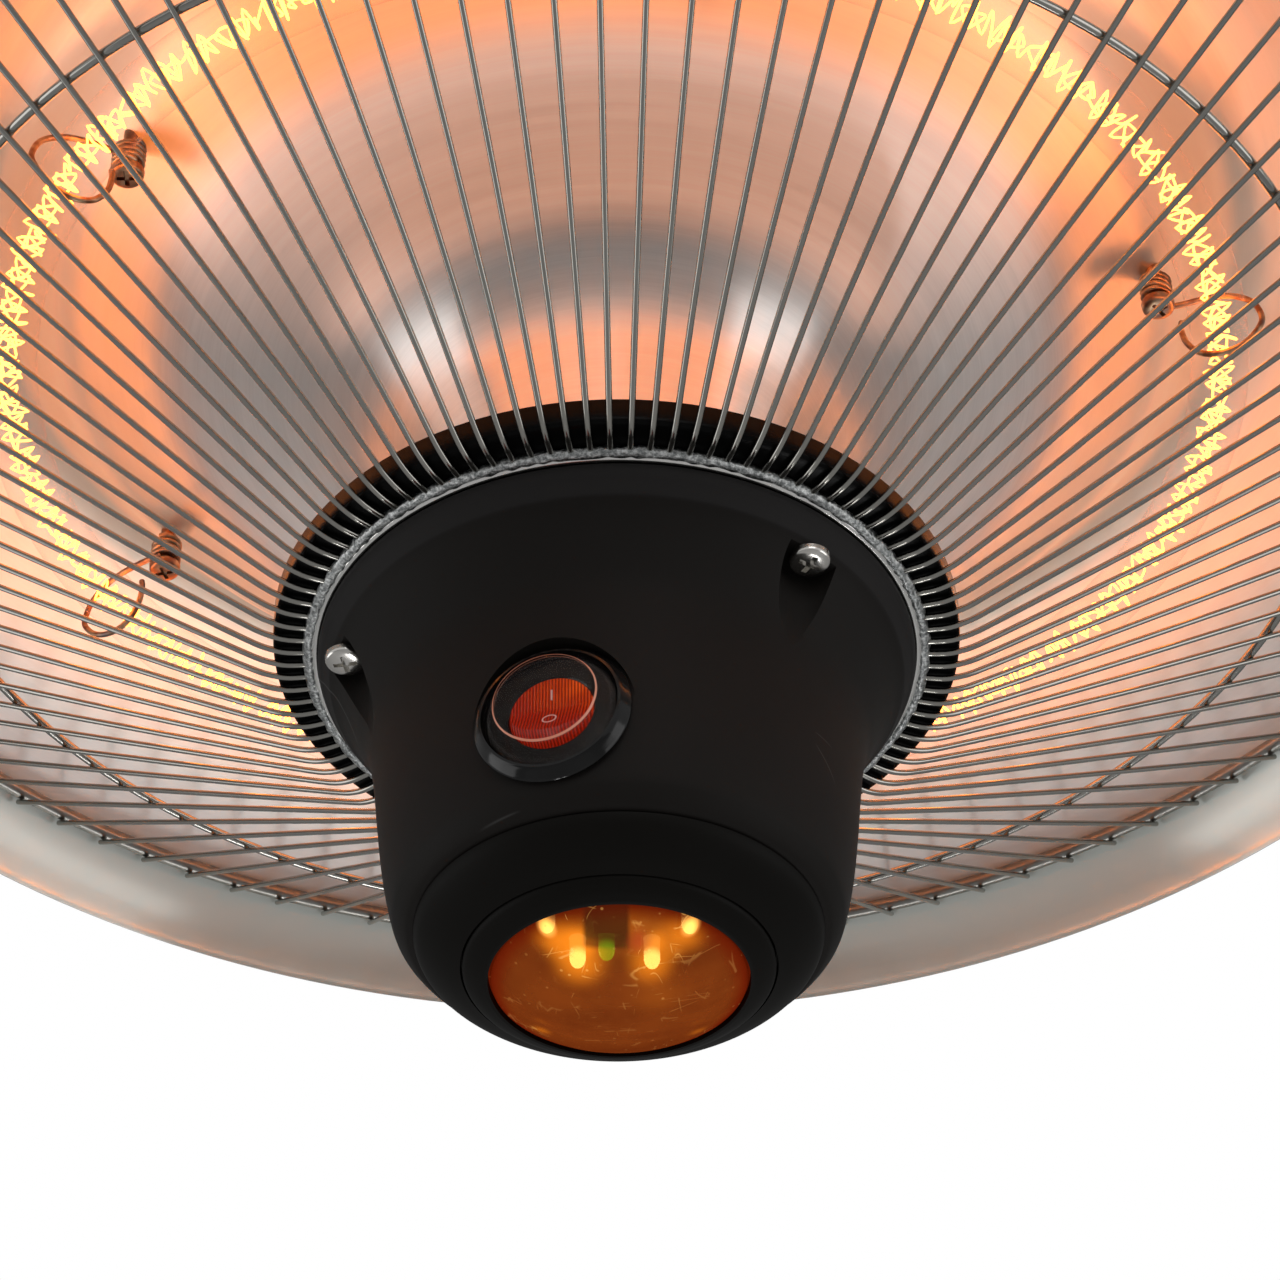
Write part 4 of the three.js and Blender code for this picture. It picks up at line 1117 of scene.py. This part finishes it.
studio = {"front": 0.6, "back": 0.26, "floorSize": 12, "floorHeight": -1.7}  # the floor is in metres
bpy.ops.mesh.primitive_plane_add(size=studio["floorSize"], location=(0, 0, studio["floorHeight"]))
floor = named("floor")
floorPaint = Paint("pale floor")
floorCloud = floorPaint.noise(3, 2)
floorPaint.set(color=floorPaint.blend(floorCloud, shade(0.44), shade(0.52)), rough=0.8)
floor.data.materials.append(floorPaint.material)

# white to the camera, and round the object a studio that is brighter in front than behind
world = bpy.data.worlds.new("studio")
bpy.context.scene.world = world
world.use_nodes = True
tree = world.node_tree
tree.nodes.clear()


def worldNode(kind, *feeds, **settings):
    made = tree.nodes.new(kind)
    for key, value in settings.items():
        setattr(made, key, value)
    for socket, value in feeds:
        if isinstance(value, bpy.types.NodeSocket):
            tree.links.new(value, made.inputs[socket])
        else:
            made.inputs[socket].default_value = value
    return made


rays = worldNode("ShaderNodeLightPath")
direction = worldNode("ShaderNodeSeparateXYZ", (0, worldNode("ShaderNodeTexCoord").outputs["Generated"]))
behind = worldNode(
    "ShaderNodeMapRange", ("Value", direction.outputs["Y"]), ("From Min", -0.5), ("From Max", 0.9),
    ("To Min", studio["front"]), ("To Max", studio["back"]), interpolation_type="SMOOTHSTEP")
whiteRays = worldNode(
    "ShaderNodeMath", (0, rays.outputs["Is Camera Ray"]), (1, rays.outputs["Is Transmission Ray"]),
    operation="MAXIMUM")
room = worldNode("ShaderNodeBackground", ("Color", shade(1.0)), ("Strength", behind.outputs["Result"]))
white = worldNode("ShaderNodeBackground", ("Color", shade(1.0)), ("Strength", 1.0))
either = worldNode(
    "ShaderNodeMixShader", (0, whiteRays.outputs[0]), (1, room.outputs[0]), (2, white.outputs[0]))
worldNode("ShaderNodeOutputWorld", ("Surface", either.outputs[0]))


def softLamp(name, place, target, size, power):
    bpy.ops.object.light_add(type="AREA", location=place)
    light = active()
    light.name = name
    light.data.shape = "RECTANGLE"
    light.data.size, light.data.size_y = size
    light.data.energy = power
    light.rotation_euler = (Vector(target) - Vector(place)).to_track_quat("-Z", "Y").to_euler()
    return light


studioLamps = {  # place, what it points at, size, all in metres, and watts
    "left softbox": ((-1.9, 0.05, -0.7), (0, 0, -0.15), (1.3, 1.3), 7.4),
    "right softbox": ((1.8, -0.5, -0.65), (0, 0, -0.15), (1.3, 1.3), 7),
    "front softbox": ((0.4, -1.8, 0.5), (0, 0, -0.2), (1.0, 0.7), 5),
    "top softbox": ((0.2, 0.3, 1.3), (0, 0, 0), (1.2, 1.2), 16),
    "low strip": ((0.03, 0.84, -1.54), (0, 0, -0.1), (0.09, 0.5), 2),
    "low side strip": ((0.24, 0.85, -1.53), (0, 0, -0.1), (0.07, 0.5), 1.2)}
for name, settings in studioLamps.items():
    softLamp(name, *settings)

# the camera as fitted to the photo: place in mm, angles in degrees, focal length and frame in pixels
view = {
    "place": (0, -558.6, -531.0), "pitch": 40.30, "yaw": 0.47, "roll": -0.75, "focal": 3718, "frame": 1280,
    "sensor": 36}
pitch, yaw, roll = (math.radians(view[key]) for key in ("pitch", "yaw", "roll"))
forward = Vector((math.sin(yaw) * math.cos(pitch), math.cos(yaw) * math.cos(pitch), math.sin(pitch)))
level = forward.cross(Vector((0, 0, 1))).normalized()
above = level.cross(forward)
rightward = level * math.cos(roll) + above * math.sin(roll)
topward = above * math.cos(roll) - level * math.sin(roll)
bpy.ops.object.camera_add()
camera = active()
camera.name = "camera"
turn = Matrix((rightward, topward, -forward)).transposed().to_4x4()
place = Vector(view["place"]) * mm + Vector((0, 0, rimLevel * mm))
camera.matrix_world = Matrix.Translation(place) @ turn
camera.data.sensor_width = view["sensor"]
camera.data.lens = view["focal"] / view["frame"] * view["sensor"]
camera.data.clip_start = 0.01
bpy.context.scene.camera = camera
bpy.context.scene.view_settings.view_transform = "Standard"
print("stage made")
